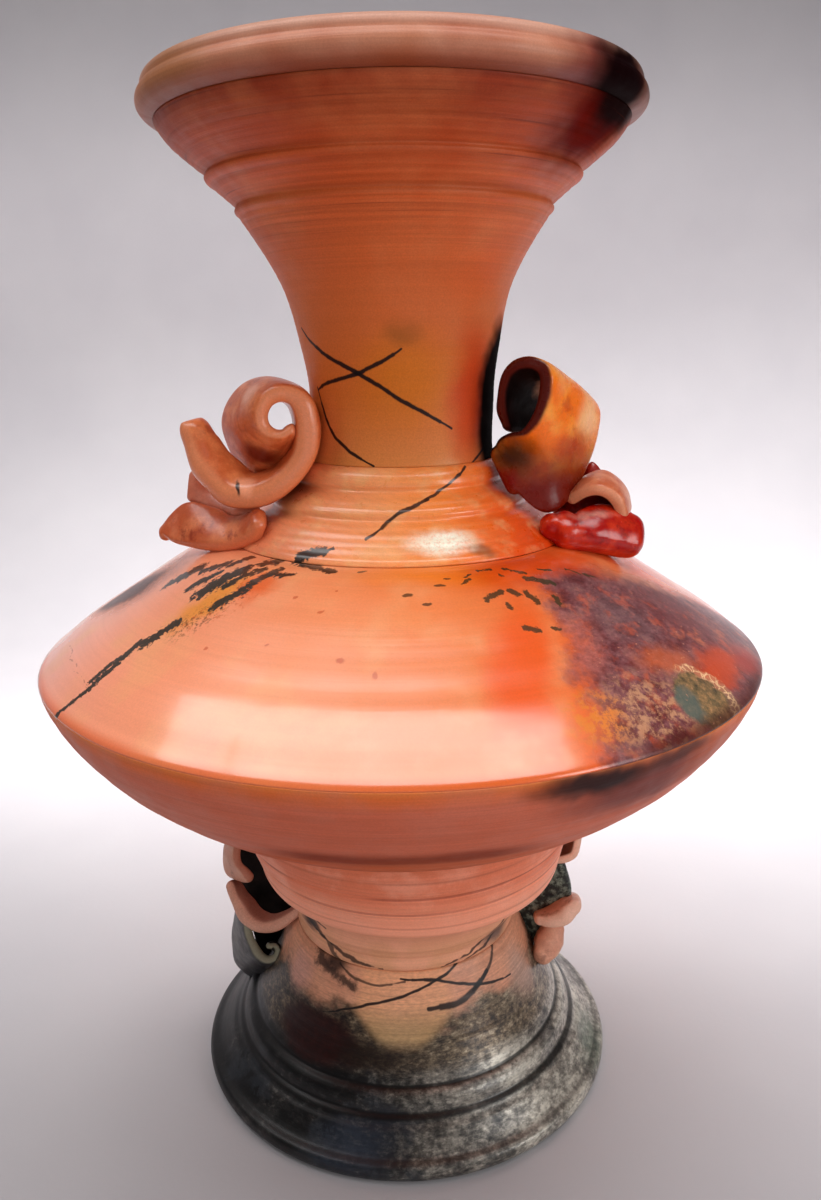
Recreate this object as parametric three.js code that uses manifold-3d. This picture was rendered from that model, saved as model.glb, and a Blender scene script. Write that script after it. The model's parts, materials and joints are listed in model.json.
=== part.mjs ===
// Hand-thrown, smoke-fired clay vase with four applied curled-strip ornaments.
// Thrown sections are stacked with stepped lute joints; each applied strip of clay is a piece of its own.
// Millimetres, +Z up, origin at the centre of the foot's underside. The front of the vase faces -Y.
import * as THREE from 'three';
import { mergeVertices } from 'three/addons/utils/BufferGeometryUtils.js';
import Module from 'manifold-3d';

const wasm = await Module();
wasm.setup();

// ---- driving dimensions -------------------------------------------------
const SEGMENTS = 28;          // facets around the vase, a multiple of 4
const GAP = 0.3;              // clearance between neighbouring pieces
const HALF = GAP / 2;
const STEP = 3.0;             // height of the step in a lute joint
const Z_STEM = 56.6;          // lute joint at the groove over the pedestal
const Z_CUP = 117.4;          // lute joint between the small cup and the wide bowl
const Z_EDGE = 169.6;         // sharp edge where bowl and shoulder meet
const R_EDGE = 127.0;         // radius of the sharp edge, the widest of the vase
const Z_COLLAR = 210.3;       // foot of the ringed collar
const Z_NECK = 237.0;         // groove at the foot of the neck
const Z_RIM = 342.4;          // underside of the rolled rim
const Z_TOP = 354.5;          // top of the lip
const STRIP_SIDES = 8;       // points around the section of a clay strip
const STRIP_STEPS = 2;        // spans between two measured stations of a strip

// ---- outer outline of the whole vase, radius and height ------------------
const OUT_PEDESTAL = [
  [78.3, 0.0], [79.9, 1.8], [80.2, 4.2], [79.2, 6.0], [77.3, 6.5], [70.6, 13.0], [67.0, 15.6],
  [65.2, 17.0], [64.3, 19.4], [62.2, 21.7], [60.0, 23.1], [59.2, 25.6], [55.3, 32.2], [51.1, 40.8],
  [47.7, 48.2], [44.6, 54.6],
];
const OUT_CUP = [
  [42.8, 59.0], [42.9, 62.0], [44.2, 64.2], [45.3, 67.6], [46.4, 71.2], [49.0, 75.0], [53.3, 78.0],
  [56.8, 80.4], [57.8, 83.4], [59.4, 88.4], [60.9, 93.0], [62.7, 99.4], [64.4, 106.5], [65.8, 113.4],
];
const OUT_BOWL = [
  [72.0, 117.8], [78.0, 118.9], [84.0, 121.9], [90.0, 125.7], [96.0, 129.8], [102.0, 134.6],
  [107.0, 139.0], [111.5, 143.5], [115.5, 148.4], [119.2, 153.3], [122.4, 158.3], [125.2, 163.6],
];
const OUT_SHOULDER = [
  [123.3, 172.8], [117.4, 177.6], [110.6, 182.4], [102.6, 187.4], [94.6, 192.4], [87.2, 198.1],
  [79.6, 203.4], [72.4, 207.0], [64.6, 209.2],
];
const OUT_COLLAR = [
  [57.6, 212.2], [52.6, 216.6], [47.8, 220.2], [45.2, 221.7], [44.6, 223.8], [41.6, 226.6],
  [38.3, 228.9], [37.1, 230.1], [37.4, 232.0], [36.6, 234.2], [35.0, 236.1],
];
const OUT_NECK = [
  [32.3, 241.0], [31.8, 252.0], [32.0, 262.0], [34.0, 275.0], [35.9, 285.0], [38.2, 293.0],
  [41.7, 300.4], [46.1, 307.8], [50.6, 314.6], [52.0, 316.7], [51.5, 318.0], [55.9, 321.8],
  [60.0, 325.3], [61.2, 326.5], [60.9, 327.6], [66.3, 332.0], [72.3, 337.2],
];
const OUT_RIM = [
  [78.8, 343.8], [80.5, 345.7], [80.8, 347.4], [80.2, 349.2], [79.0, 350.6], [78.7, 352.6], [77.7, 354.1],
];

// ---- helpers -------------------------------------------------------------
// Volume of a closed mesh, signed: positive when its faces point outwards.
function signedVolume(geometry) {
  const p = geometry.attributes.position, ix = geometry.index;
  const a = new THREE.Vector3(), b = new THREE.Vector3(), c = new THREE.Vector3();
  let v = 0;
  for (let i = 0; i < ix.count; i += 3) {
    a.fromBufferAttribute(p, ix.getX(i));
    b.fromBufferAttribute(p, ix.getX(i + 1));
    c.fromBufferAttribute(p, ix.getX(i + 2));
    v += a.dot(b.cross(c)) / 6;
  }
  return v;
}

// The thrown body is not quite plumb: around the waist of the neck and around the small cup its axis
// stands a little to the right.
function lean(z) {
  return 1.6 * Math.exp(-(((z - 258) / (z < 258 ? 20 : 34)) ** 2)) + 2.4 * Math.exp(-(((z - 81) / (z < 81 ? 13 : 22)) ** 2));
}

// Keeps positions only, merges shared points, drops collapsed triangles and turns the faces outwards.
function closedSolid(geometry) {
  geometry.deleteAttribute('normal');
  geometry.deleteAttribute('uv');
  const g = mergeVertices(geometry, 1e-4);
  const ix = g.index.array, keep = [];
  for (let i = 0; i < ix.length; i += 3) {
    if (ix[i] !== ix[i + 1] && ix[i + 1] !== ix[i + 2] && ix[i] !== ix[i + 2]) keep.push(ix[i], ix[i + 1], ix[i + 2]);
  }
  g.setIndex(keep);
  if (signedVolume(g) < 0) {
    for (let i = 0; i < keep.length; i += 3) [keep[i], keep[i + 1]] = [keep[i + 1], keep[i]];
    g.setIndex(keep);
  }
  return g;
}

// A ring or bowl turned about the vertical axis from a closed outline of radius and height.
function turned(outline) {
  const pts = outline.map(([r, z]) => new THREE.Vector2(r, z));
  const [first, last] = [outline[0], outline[outline.length - 1]];
  const onAxis = first[0] === 0 && last[0] === 0;
  if (!onAxis) pts.push(new THREE.Vector2(first[0], first[1]));
  const g = new THREE.LatheGeometry(pts, SEGMENTS);
  g.rotateX(Math.PI / 2);
  const p = g.attributes.position;
  for (let i = 0; i < p.count; i++) p.setX(i, p.getX(i) + lean(p.getZ(i)));
  return closedSolid(g);
}

// Offset of an open outline to its outer side, used for the room that the applied strips leave.
function offsetOutline(outline, d) {
  return outline.map(([r, z], i) => {
    const [r0, z0] = outline[Math.max(0, i - 1)], [r1, z1] = outline[Math.min(outline.length - 1, i + 1)];
    const l = Math.hypot(r1 - r0, z1 - z0) || 1;
    return [Math.max(0, r + d * (z1 - z0) / l), z - d * (r1 - r0) / l];
  });
}

// A bent strip of clay: every station gives the strip's front edge, its back edge and its thickness.
// The section is a flat bar with round edges, and the two ends are rounded off.
function strip(stations, grow = 0) {
  const v = (a, i) => new THREE.Vector3(a[i], a[i + 1], a[i + 2]);
  const front = new THREE.CatmullRomCurve3(stations.map((s) => v(s, 0)), false, 'centripetal');
  const back = new THREE.CatmullRomCurve3(stations.map((s) => v(s, 3)), false, 'centripetal');
  const n = (stations.length - 1) * STRIP_STEPS;
  const rings = [];
  const at = (curve, u) => curve.getPoint(Math.min(1, Math.max(0, u)));
  const section = (u, push, shrink) => {
    const f = at(front, u), b = at(back, u);
    const f0 = at(front, u - 0.01), f1 = at(front, u + 0.01), b0 = at(back, u - 0.01), b1 = at(back, u + 0.01);
    const tangent = f1.add(b1).sub(f0).sub(b0).normalize();
    const across = b.clone().sub(f);
    const width = across.length();
    across.normalize();
    tangent.addScaledVector(across, -tangent.dot(across)).normalize();
    const normal = new THREE.Vector3().crossVectors(tangent, across);
    const k = u * (stations.length - 1), k0 = Math.min(stations.length - 2, Math.floor(k));
    const t = (stations[k0][6] * (1 - (k - k0)) + stations[k0 + 1][6] * (k - k0)) / 2 + grow;
    const mid = f.add(b).multiplyScalar(0.5).addScaledVector(tangent, push);
    const flat = Math.max(0.2, width / 2 - t + grow);
    const ring = [];
    for (let j = 0; j < STRIP_SIDES; j++) {
      const a = (2 * Math.PI * (j + 0.5)) / STRIP_SIDES;
      const x = (Math.cos(a) * t + Math.sign(Math.cos(a)) * flat) * shrink[0], y = Math.sin(a) * t * shrink[1];
      ring.push(mid.clone().addScaledVector(across, x).addScaledVector(normal, y));
    }
    rings.push(ring);
  };
  const t0 = stations[0][6] / 2 + grow, t1 = stations[stations.length - 1][6] / 2 + grow;
  section(0, -t0 * 0.85, [0.86, 0.55]);
  section(0, -t0 * 0.45, [0.95, 0.88]);
  for (let i = 0; i <= n; i++) section(i / n, 0, [1, 1]);
  section(1, t1 * 0.45, [0.95, 0.88]);
  section(1, t1 * 0.85, [0.86, 0.55]);
  const pos = [], index = [], m = STRIP_SIDES;
  rings.forEach((ring) => ring.forEach((p) => pos.push(p.x, p.y, p.z)));
  for (let i = 0; i + 1 < rings.length; i++) {
    for (let j = 0; j < m; j++) {
      const a = i * m + j, b = i * m + ((j + 1) % m), c = a + m, d = b + m;
      index.push(a, b, d, a, d, c);
    }
  }
  for (const i of [0, rings.length - 1]) {
    const c = new THREE.Vector3();
    rings[i].forEach((p) => c.add(p));
    c.multiplyScalar(1 / m);
    const k = pos.length / 3;
    pos.push(c.x, c.y, c.z);
    for (let j = 0; j < m; j++) {
      const a = i * m + j, b = i * m + ((j + 1) % m);
      if (i === 0) index.push(k, b, a); else index.push(k, a, b);
    }
  }
  const g = new THREE.BufferGeometry();
  g.setAttribute('position', new THREE.Float32BufferAttribute(pos, 3));
  g.setIndex(index);
  return closedSolid(g);
}

function toManifold(g) {
  return new wasm.Manifold(new wasm.Mesh({
    numProp: 3,
    vertProperties: new Float32Array(g.attributes.position.array),
    triVerts: new Uint32Array(g.index.array),
  }));
}

function fromManifold(solid) {
  const m = solid.getMesh();
  const g = new THREE.BufferGeometry();
  const pos = new Float32Array(m.numVert * 3);
  for (let i = 0; i < m.numVert; i++) for (let k = 0; k < 3; k++) pos[3 * i + k] = m.vertProperties[i * m.numProp + k];
  g.setAttribute('position', new THREE.BufferAttribute(pos, 3));
  g.setIndex(Array.from(m.triVerts));
  return g;
}

// The largest body of a cut solid, so that a sliver left behind by a cut is dropped.
function largest(solid) {
  return solid.decompose().reduce((a, b) => (b.volume() > a.volume() ? b : a));
}

const root = new THREE.Group();
root.name = 'terracotta_vase';

function add(name, geometry, colour, roughness = 0.7) {
  geometry.computeVertexNormals();
  const material = new THREE.MeshStandardMaterial({ color: colour, roughness, metalness: 0 });
  const mesh = new THREE.Mesh(geometry, material);
  mesh.name = name;
  root.add(mesh);
}

// ---- turned sections -----------------------------------------------------
// pedestal: open below, with ring mouldings and a thin rounded lip
add('pedestal', turned([
  ...OUT_PEDESTAL,
  [43.1, Z_STEM - HALF], [40.2, Z_STEM - HALF], [40.2, Z_STEM - HALF + STEP], [37.3, Z_STEM - HALF + STEP],
  [37.8, 52.5], [41.6, 43.0], [46.4, 33.6], [52.0, 24.5], [57.8, 17.0], [64.6, 9.5], [70.2, 3.4], [72.4, 0.0],
]), 0x6f5a50, 0.55);

// stem and small banded cup, open through the middle
add('stem_cup', turned([
  [43.1, Z_STEM + HALF], ...OUT_CUP,
  [66.5, Z_CUP - HALF], [62.6, Z_CUP - HALF], [62.6, Z_CUP - HALF + STEP], [59.4, Z_CUP - HALF + STEP],
  [58.9, 114.0], [57.9, 107.0], [55.4, 97.0], [52.0, 88.5], [47.6, 83.2], [42.2, 79.0], [39.4, 74.0], [38.2, 67.0],
  [37.6, Z_STEM + HALF + STEP], [40.5, Z_STEM + HALF + STEP], [40.5, Z_STEM + HALF],
]), 0xc06a50, 0.7);

// wide bowl with its floor, seated on the cup
add('lower_bowl', turned([
  [0, Z_CUP + HALF + STEP], [62.9, Z_CUP + HALF + STEP], [62.9, Z_CUP + HALF], [66.7, Z_CUP + HALF],
  ...OUT_BOWL,
  [R_EDGE, Z_EDGE - HALF], [122.0, Z_EDGE - HALF], [121.8, Z_EDGE - HALF - STEP], [118.4, Z_EDGE - HALF - STEP],
  [117.0, 161.0], [113.4, 154.4], [107.8, 147.4], [100.0, 140.4], [91.0, 134.2], [80.0, 128.8], [66.0, 126.2], [34.0, 125.2],
  [0, 125.0],
]), 0xa85c48, 0.78);

// domed shoulder, its flange hanging inside the bowl's edge
add('shoulder', turned([
  [R_EDGE, Z_EDGE + HALF], ...OUT_SHOULDER,
  [59.7, Z_COLLAR - HALF], [55.6, Z_COLLAR - HALF], [55.6, 204.4],
  [62.0, 203.0], [70.4, 200.9], [76.6, 197.8], [84.0, 192.6], [91.6, 186.8], [99.6, 181.8], [107.4, 176.8], [113.4, 172.4],
  [117.8, 168.0], [118.4, Z_EDGE - HALF - STEP + GAP], [121.5, Z_EDGE - HALF - STEP + GAP], [121.7, Z_EDGE + HALF],
]), 0xe08a5c, 0.4);

// ringed collar, with a flange into the shoulder's opening
add('collar', turned([
  [59.0, Z_COLLAR + HALF], ...OUT_COLLAR,
  [33.0, Z_NECK - HALF], [30.4, Z_NECK - HALF], [30.4, Z_NECK - HALF + STEP], [27.4, Z_NECK - HALF + STEP],
  [28.4, 232.0], [30.6, 227.0], [35.4, 221.6], [41.6, 216.4], [47.6, 210.8], [50.6, 206.6], [51.6, 203.8], [55.3, 203.8],
  [55.3, Z_COLLAR + HALF],
]), 0xd87a4e, 0.5);

// narrow neck that opens into the flare, with two beads
add('neck', turned([
  [33.0, Z_NECK + HALF], ...OUT_NECK,
  [75.8, Z_RIM - HALF], [72.4, Z_RIM - HALF], [72.4, Z_RIM - HALF + STEP], [69.6, Z_RIM - HALF + STEP],
  [65.6, 339.6], [59.8, 334.2], [53.6, 328.0], [47.8, 321.0], [42.2, 312.8], [37.2, 303.8], [33.6, 295.2], [31.2, 285.6],
  [29.2, 274.0], [28.0, 260.0], [27.6, 247.0], [27.6, Z_NECK + HALF + STEP], [30.7, Z_NECK + HALF + STEP], [30.7, Z_NECK + HALF],
]), 0xa5553a, 0.7);

// rolled rim with a thin lip
add('rim', turned([
  [72.7, Z_RIM + HALF], [75.9, Z_RIM + HALF], ...OUT_RIM,
  [76.6, Z_TOP], [75.2, 353.8], [74.0, 351.8], [72.6, 348.8], [70.4, Z_RIM + HALF + STEP], [72.7, Z_RIM + HALF + STEP],
]), 0xb06850, 0.65);

// ---- applied strips --------------------------------------------------------
// The room that the vase itself takes, grown by the gap: the strips are cut back to it.
const OUTER = [
  ...OUT_PEDESTAL, [43.1, Z_STEM], ...OUT_CUP, [66.6, Z_CUP], ...OUT_BOWL, [R_EDGE, Z_EDGE], ...OUT_SHOULDER,
  [59.4, Z_COLLAR], ...OUT_COLLAR, [33.0, Z_NECK], ...OUT_NECK, [75.8, Z_RIM],
];
const vaseRoom = toManifold(turned([[0, -1], [79, -1], ...offsetOutline(OUTER, GAP + 0.05), [0, Z_RIM + 1]]));

// Stations of each strip: front edge x, y, z, back edge x, y, z, thickness.
const STRIPS = {
  upper_left_scroll: [
    [-70.5, -19.0, 245.8, -63.6, -13.0, 247.4, 10.5],
    [-69.6, -21.0, 242.1, -61.6, -12.0, 244.3, 11.2],
    [-66.8, -24.0, 236.5, -58.2, -12.0, 238.8, 11.4],
    [-62.4, -26.0, 231.4, -54.4, -12.0, 234.7, 11.0],
    [-57.4, -28.0, 227.7, -51.0, -11.0, 231.1, 10.4],
    [-50.9, -30.0, 227.0, -49.1, -10.0, 229.5, 9.8],
    [-44.8, -31.0, 228.0, -46.5, -9.0, 229.7, 9.4],
    [-38.7, -32.0, 231.0, -42.8, -8.0, 230.9, 9.0],
    [-33.3, -32.0, 235.8, -37.7, -8.0, 234.6, 8.8],
    [-29.5, -32.0, 241.9, -33.3, -8.0, 240.4, 8.8],
    [-28.2, -32.0, 249.1, -31.7, -8.0, 247.6, 8.8],
    [-28.9, -32.0, 255.4, -32.9, -7.0, 254.3, 8.4],
    [-31.9, -32.0, 259.5, -36.2, -6.0, 258.9, 7.4],
    [-36.3, -32.0, 260.4, -43.2, -6.0, 262.3, 6.6],
    [-40.2, -32.0, 258.6, -51.1, -6.0, 260.8, 6.2],
    [-42.2, -32.0, 254.9, -56.5, -6.0, 255.5, 6.0],
    [-41.8, -32.0, 250.9, -58.7, -6.0, 248.7, 6.0],
    [-39.4, -32.0, 248.6, -57.1, -6.0, 240.9, 5.8],
    [-36.2, -32.0, 248.6, -52.1, -7.0, 234.0, 5.6],
    [-33.4, -31.0, 250.0, -44.5, -8.0, 232.0, 5.2],
  ],
  upper_left_leaf: [
    [-80.5, -15.0, 211.3, -81.7, -9.0, 214.0, 5.0],
    [-77.4, -17.0, 209.9, -78.5, -9.0, 218.5, 5.2],
    [-73.5, -19.0, 209.2, -74.8, -9.0, 221.7, 5.4],
    [-69.1, -22.0, 209.1, -70.5, -11.0, 223.0, 5.6],
    [-64.1, -25.0, 209.4, -65.6, -13.0, 221.9, 6.0],
    [-59.2, -28.0, 209.9, -61.1, -14.0, 220.3, 6.2],
    [-54.8, -30.0, 210.7, -56.9, -17.0, 218.0, 6.6],
    [-50.4, -32.0, 212.1, -52.3, -20.0, 218.5, 6.8],
    [-46.7, -34.0, 214.4, -48.4, -23.0, 220.7, 6.2],
    [-45.1, -35.0, 217.6, -46.2, -26.0, 221.9, 5.4],
  ],
  upper_left_web: [
    [-71.3, -9.0, 222.3, -70.3, -5.0, 233.3, 5.2],
    [-67.2, -11.0, 220.2, -66.4, -5.0, 229.0, 5.2],
    [-61.8, -14.0, 219.2, -61.0, -7.0, 225.7, 5.2],
    [-56.0, -18.0, 218.5, -55.0, -10.0, 223.7, 5.2],
    [-50.0, -22.0, 218.8, -49.6, -14.0, 223.2, 5.0],
  ],
  upper_right_curl: [
    [32.5, -19.0, 241.9, 39.9, -24.0, 226.5, 6.0],
    [33.9, -21.0, 244.7, 47.3, -24.0, 220.6, 6.2],
    [36.8, -25.0, 246.7, 54.5, -21.0, 221.0, 6.2],
    [40.9, -29.0, 248.0, 60.0, -15.0, 226.5, 6.0],
    [44.3, -31.0, 252.8, 65.3, -10.0, 236.3, 5.6],
    [46.4, -31.0, 258.7, 68.0, -7.0, 244.2, 5.4],
    [46.9, -31.0, 264.0, 68.3, -6.0, 250.6, 5.4],
    [45.7, -30.0, 267.6, 65.6, -5.0, 254.9, 5.4],
    [42.0, -29.0, 269.5, 60.5, -4.0, 257.9, 5.4],
    [37.8, -27.0, 268.6, 56.8, -3.0, 258.6, 5.2],
    [34.9, -25.0, 265.4, 53.9, -2.0, 256.9, 5.0],
    [33.6, -23.0, 260.3, 51.7, -1.0, 253.4, 4.8],
    [33.8, -21.0, 254.4, 50.4, -1.0, 249.3, 4.6],
    [35.6, -20.0, 248.8, 49.7, -2.0, 245.0, 4.2],
  ],
  upper_right_base: [
    [54.3, -14.0, 215.6, 61.2, -4.0, 225.1, 4.6],
    [59.2, -14.0, 214.2, 64.9, -4.0, 230.7, 4.8],
    [64.8, -14.0, 213.4, 67.9, -4.0, 234.2, 4.8],
    [70.0, -14.0, 213.3, 71.7, -5.0, 230.1, 4.6],
    [75.1, -14.0, 214.0, 76.3, -6.0, 224.5, 4.2],
  ],
  upper_right_arch: [
    [58.4, -21.0, 223.7, 62.8, -9.0, 226.6, 4.8],
    [61.8, -24.0, 226.5, 66.3, -10.0, 229.4, 5.0],
    [65.7, -26.0, 227.4, 70.2, -11.0, 230.9, 5.0],
    [69.7, -26.0, 226.1, 74.8, -11.0, 228.4, 5.0],
    [72.5, -26.0, 223.4, 77.5, -12.0, 224.7, 5.0],
    [74.2, -25.0, 219.5, 78.7, -12.0, 220.2, 4.8],
  ],
  upper_right_tongue: [
    [50.7, -32.0, 213.1, 51.6, -25.0, 219.1, 9.0],
    [53.4, -34.0, 211.8, 54.5, -23.0, 219.0, 10.2],
    [56.3, -34.0, 211.1, 58.1, -22.0, 217.4, 10.8],
    [59.5, -33.0, 210.2, 61.4, -20.0, 219.1, 11.2],
    [63.6, -32.0, 209.2, 65.8, -18.0, 220.4, 11.6],
    [68.4, -30.0, 207.7, 70.8, -17.0, 220.5, 11.8],
    [72.9, -28.0, 206.2, 75.2, -16.0, 219.2, 11.6],
    [76.4, -27.0, 205.5, 79.0, -16.0, 217.1, 11.0],
  ],
  lower_left_upper_fold: [
    [-64.4, -4.0, 87.8, -70.8, 8.0, 82.0, 3.8],
    [-65.1, -6.0, 84.1, -72.3, 8.0, 77.0, 3.8],
    [-64.4, -7.0, 80.3, -72.7, 8.0, 72.0, 4.0],
    [-62.2, -7.0, 76.8, -71.1, 7.0, 68.0, 4.2],
    [-60.4, -7.0, 74.1, -66.8, 5.0, 66.9, 4.2],
  ],
  lower_left_mid_fold: [
    [-69.8, -1.0, 66.1, -69.2, 8.0, 61.9, 4.6],
    [-68.0, -4.0, 62.1, -66.0, 7.0, 57.8, 5.4],
    [-64.9, -7.0, 58.1, -62.2, 5.0, 54.8, 6.0],
    [-61.2, -9.0, 54.5, -59.2, 3.0, 52.4, 6.4],
    [-56.4, -10.0, 52.8, -54.9, 1.0, 50.9, 6.4],
    [-50.9, -10.0, 54.1, -50.4, -2.0, 52.8, 5.8],
    [-46.0, -10.0, 57.2, -46.0, -4.0, 55.9, 4.8],
    [-42.3, -10.0, 60.2, -42.5, -5.0, 58.8, 4.0],
  ],
  lower_left_scroll: [
    [-65.2, -3.0, 57.8, -68.9, 12.0, 50.0, 3.4],
    [-63.2, -5.0, 52.7, -71.5, 14.0, 40.1, 3.8],
    [-61.8, -6.0, 46.0, -72.8, 15.0, 29.7, 4.2],
    [-59.1, -7.0, 40.3, -72.0, 15.0, 20.8, 4.6],
    [-55.5, -8.0, 37.7, -67.4, 14.0, 16.0, 4.8],
    [-52.3, -8.0, 38.6, -60.7, 12.0, 15.4, 4.4],
    [-51.0, -8.0, 41.3, -55.1, 10.0, 20.8, 3.8],
    [-52.0, -8.0, 43.6, -52.3, 8.0, 29.0, 3.4],
    [-54.6, -7.0, 43.0, -54.9, 7.0, 34.1, 3.0],
  ],
  lower_left_back_sheet: [
    [-71.9, 14.0, 75.8, -58.9, 16.0, 76.4, 4.0],
    [-72.1, 15.0, 67.9, -53.9, 18.0, 65.8, 4.0],
    [-70.9, 16.0, 56.9, -48.6, 18.0, 53.4, 4.2],
    [-67.4, 17.0, 47.7, -42.2, 18.0, 44.7, 4.2],
    [-66.0, 18.0, 37.3, -40.1, 18.0, 35.0, 4.2],
    [-64.4, 18.0, 26.5, -44.8, 18.0, 23.2, 4.2],
    [-65.0, 18.0, 16.5, -50.4, 18.0, 13.3, 4.0],
  ],
  lower_right_upper_fold: [
    [59.8, -3.0, 77.0, 58.2, 7.0, 75.2, 4.0],
    [63.2, -4.0, 78.0, 61.5, 8.0, 75.5, 4.2],
    [66.7, -4.0, 80.1, 63.7, 9.0, 77.1, 4.4],
    [68.1, -4.0, 84.5, 64.4, 9.0, 80.8, 4.4],
    [68.7, -4.0, 89.3, 64.7, 9.0, 84.8, 4.2],
  ],
  lower_right_sheet: [
    [63.2, 3.0, 75.6, 59.6, 6.0, 74.9, 4.2],
    [65.2, 2.0, 69.9, 54.6, 6.0, 66.7, 4.6],
    [66.9, 1.0, 63.2, 49.9, 6.0, 58.5, 5.0],
    [66.5, 0.0, 57.5, 44.7, 6.0, 52.1, 5.0],
    [63.5, 0.0, 51.1, 44.0, 6.0, 42.7, 5.0],
    [58.0, 0.0, 43.8, 46.6, 6.0, 33.2, 4.6],
  ],
  lower_right_mid_fold: [
    [53.3, -9.0, 54.1, 54.2, 3.0, 49.3, 4.4],
    [56.5, -11.0, 54.5, 58.8, 4.0, 50.9, 5.8],
    [60.3, -12.0, 55.5, 63.4, 5.0, 53.4, 7.4],
    [63.3, -12.0, 57.7, 66.8, 6.0, 54.6, 7.8],
    [65.9, -10.0, 59.9, 69.0, 7.0, 53.9, 6.6],
  ],
  lower_right_tongue: [
    [58.5, -9.0, 49.9, 61.0, 4.0, 42.4, 8.6],
    [56.6, -12.0, 47.0, 59.8, 3.0, 38.9, 11.0],
    [54.9, -13.0, 43.7, 58.1, 2.0, 35.3, 10.6],
    [53.7, -14.0, 42.1, 56.7, 1.0, 33.7, 8.2],
  ],
};

const COLOURS = {
  upper_left_scroll: 0xc46a45,
  upper_left_leaf: 0xb65f3e,
  upper_left_web: 0xb4705a,
  upper_right_curl: 0xb85a34,
  upper_right_base: 0x7a1410,
  upper_right_arch: 0xa8553c,
  upper_right_tongue: 0x9a2a1c,
  lower_left_upper_fold: 0xa08068,
  lower_left_mid_fold: 0xa87058,
  lower_left_scroll: 0x4a4848,
  lower_left_back_sheet: 0x2c2422,
  lower_right_upper_fold: 0x9c7860,
  lower_right_sheet: 0x5c5048,
  lower_right_mid_fold: 0xa87c64,
  lower_right_tongue: 0xb07c60,
};

// Strips are laid in order: each one is cut back to the vase and to the strips laid before it.
const laid = [];
for (const [name, stations] of Object.entries(STRIPS)) {
  let solid = toManifold(strip(stations)).subtract(vaseRoom);
  for (const other of laid) {
    if (name.slice(0, 7) === other.name.slice(0, 7)) solid = solid.subtract(other.room);
  }
  laid.push({ name, room: toManifold(strip(stations, GAP)) });
  add(name, fromManifold(largest(solid)), COLOURS[name] ?? 0xb5603c, 0.5);
}

export default root;
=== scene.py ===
import bpy
import json
import math
import numpy as np
from mathutils import Matrix, Vector


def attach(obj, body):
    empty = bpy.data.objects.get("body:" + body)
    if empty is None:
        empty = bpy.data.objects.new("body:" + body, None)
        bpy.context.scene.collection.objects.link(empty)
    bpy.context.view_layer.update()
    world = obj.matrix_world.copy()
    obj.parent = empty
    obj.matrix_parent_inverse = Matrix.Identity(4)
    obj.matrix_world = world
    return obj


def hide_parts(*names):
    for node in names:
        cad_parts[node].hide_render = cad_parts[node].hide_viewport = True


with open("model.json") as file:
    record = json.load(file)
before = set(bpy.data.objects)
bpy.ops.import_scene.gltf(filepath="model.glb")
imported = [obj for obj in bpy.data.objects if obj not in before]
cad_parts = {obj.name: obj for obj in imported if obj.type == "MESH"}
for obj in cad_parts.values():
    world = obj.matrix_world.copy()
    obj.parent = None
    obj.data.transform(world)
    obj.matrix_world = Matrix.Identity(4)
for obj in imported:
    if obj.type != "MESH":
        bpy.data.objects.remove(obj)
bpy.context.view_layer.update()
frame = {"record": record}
SLOT = {s["node"]: s["material_slot"] for s in frame["record"]["subparts"]}

MM = 0.001
SEGS = 288            # facets around the thrown body
TAU = 2 * math.pi

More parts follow.
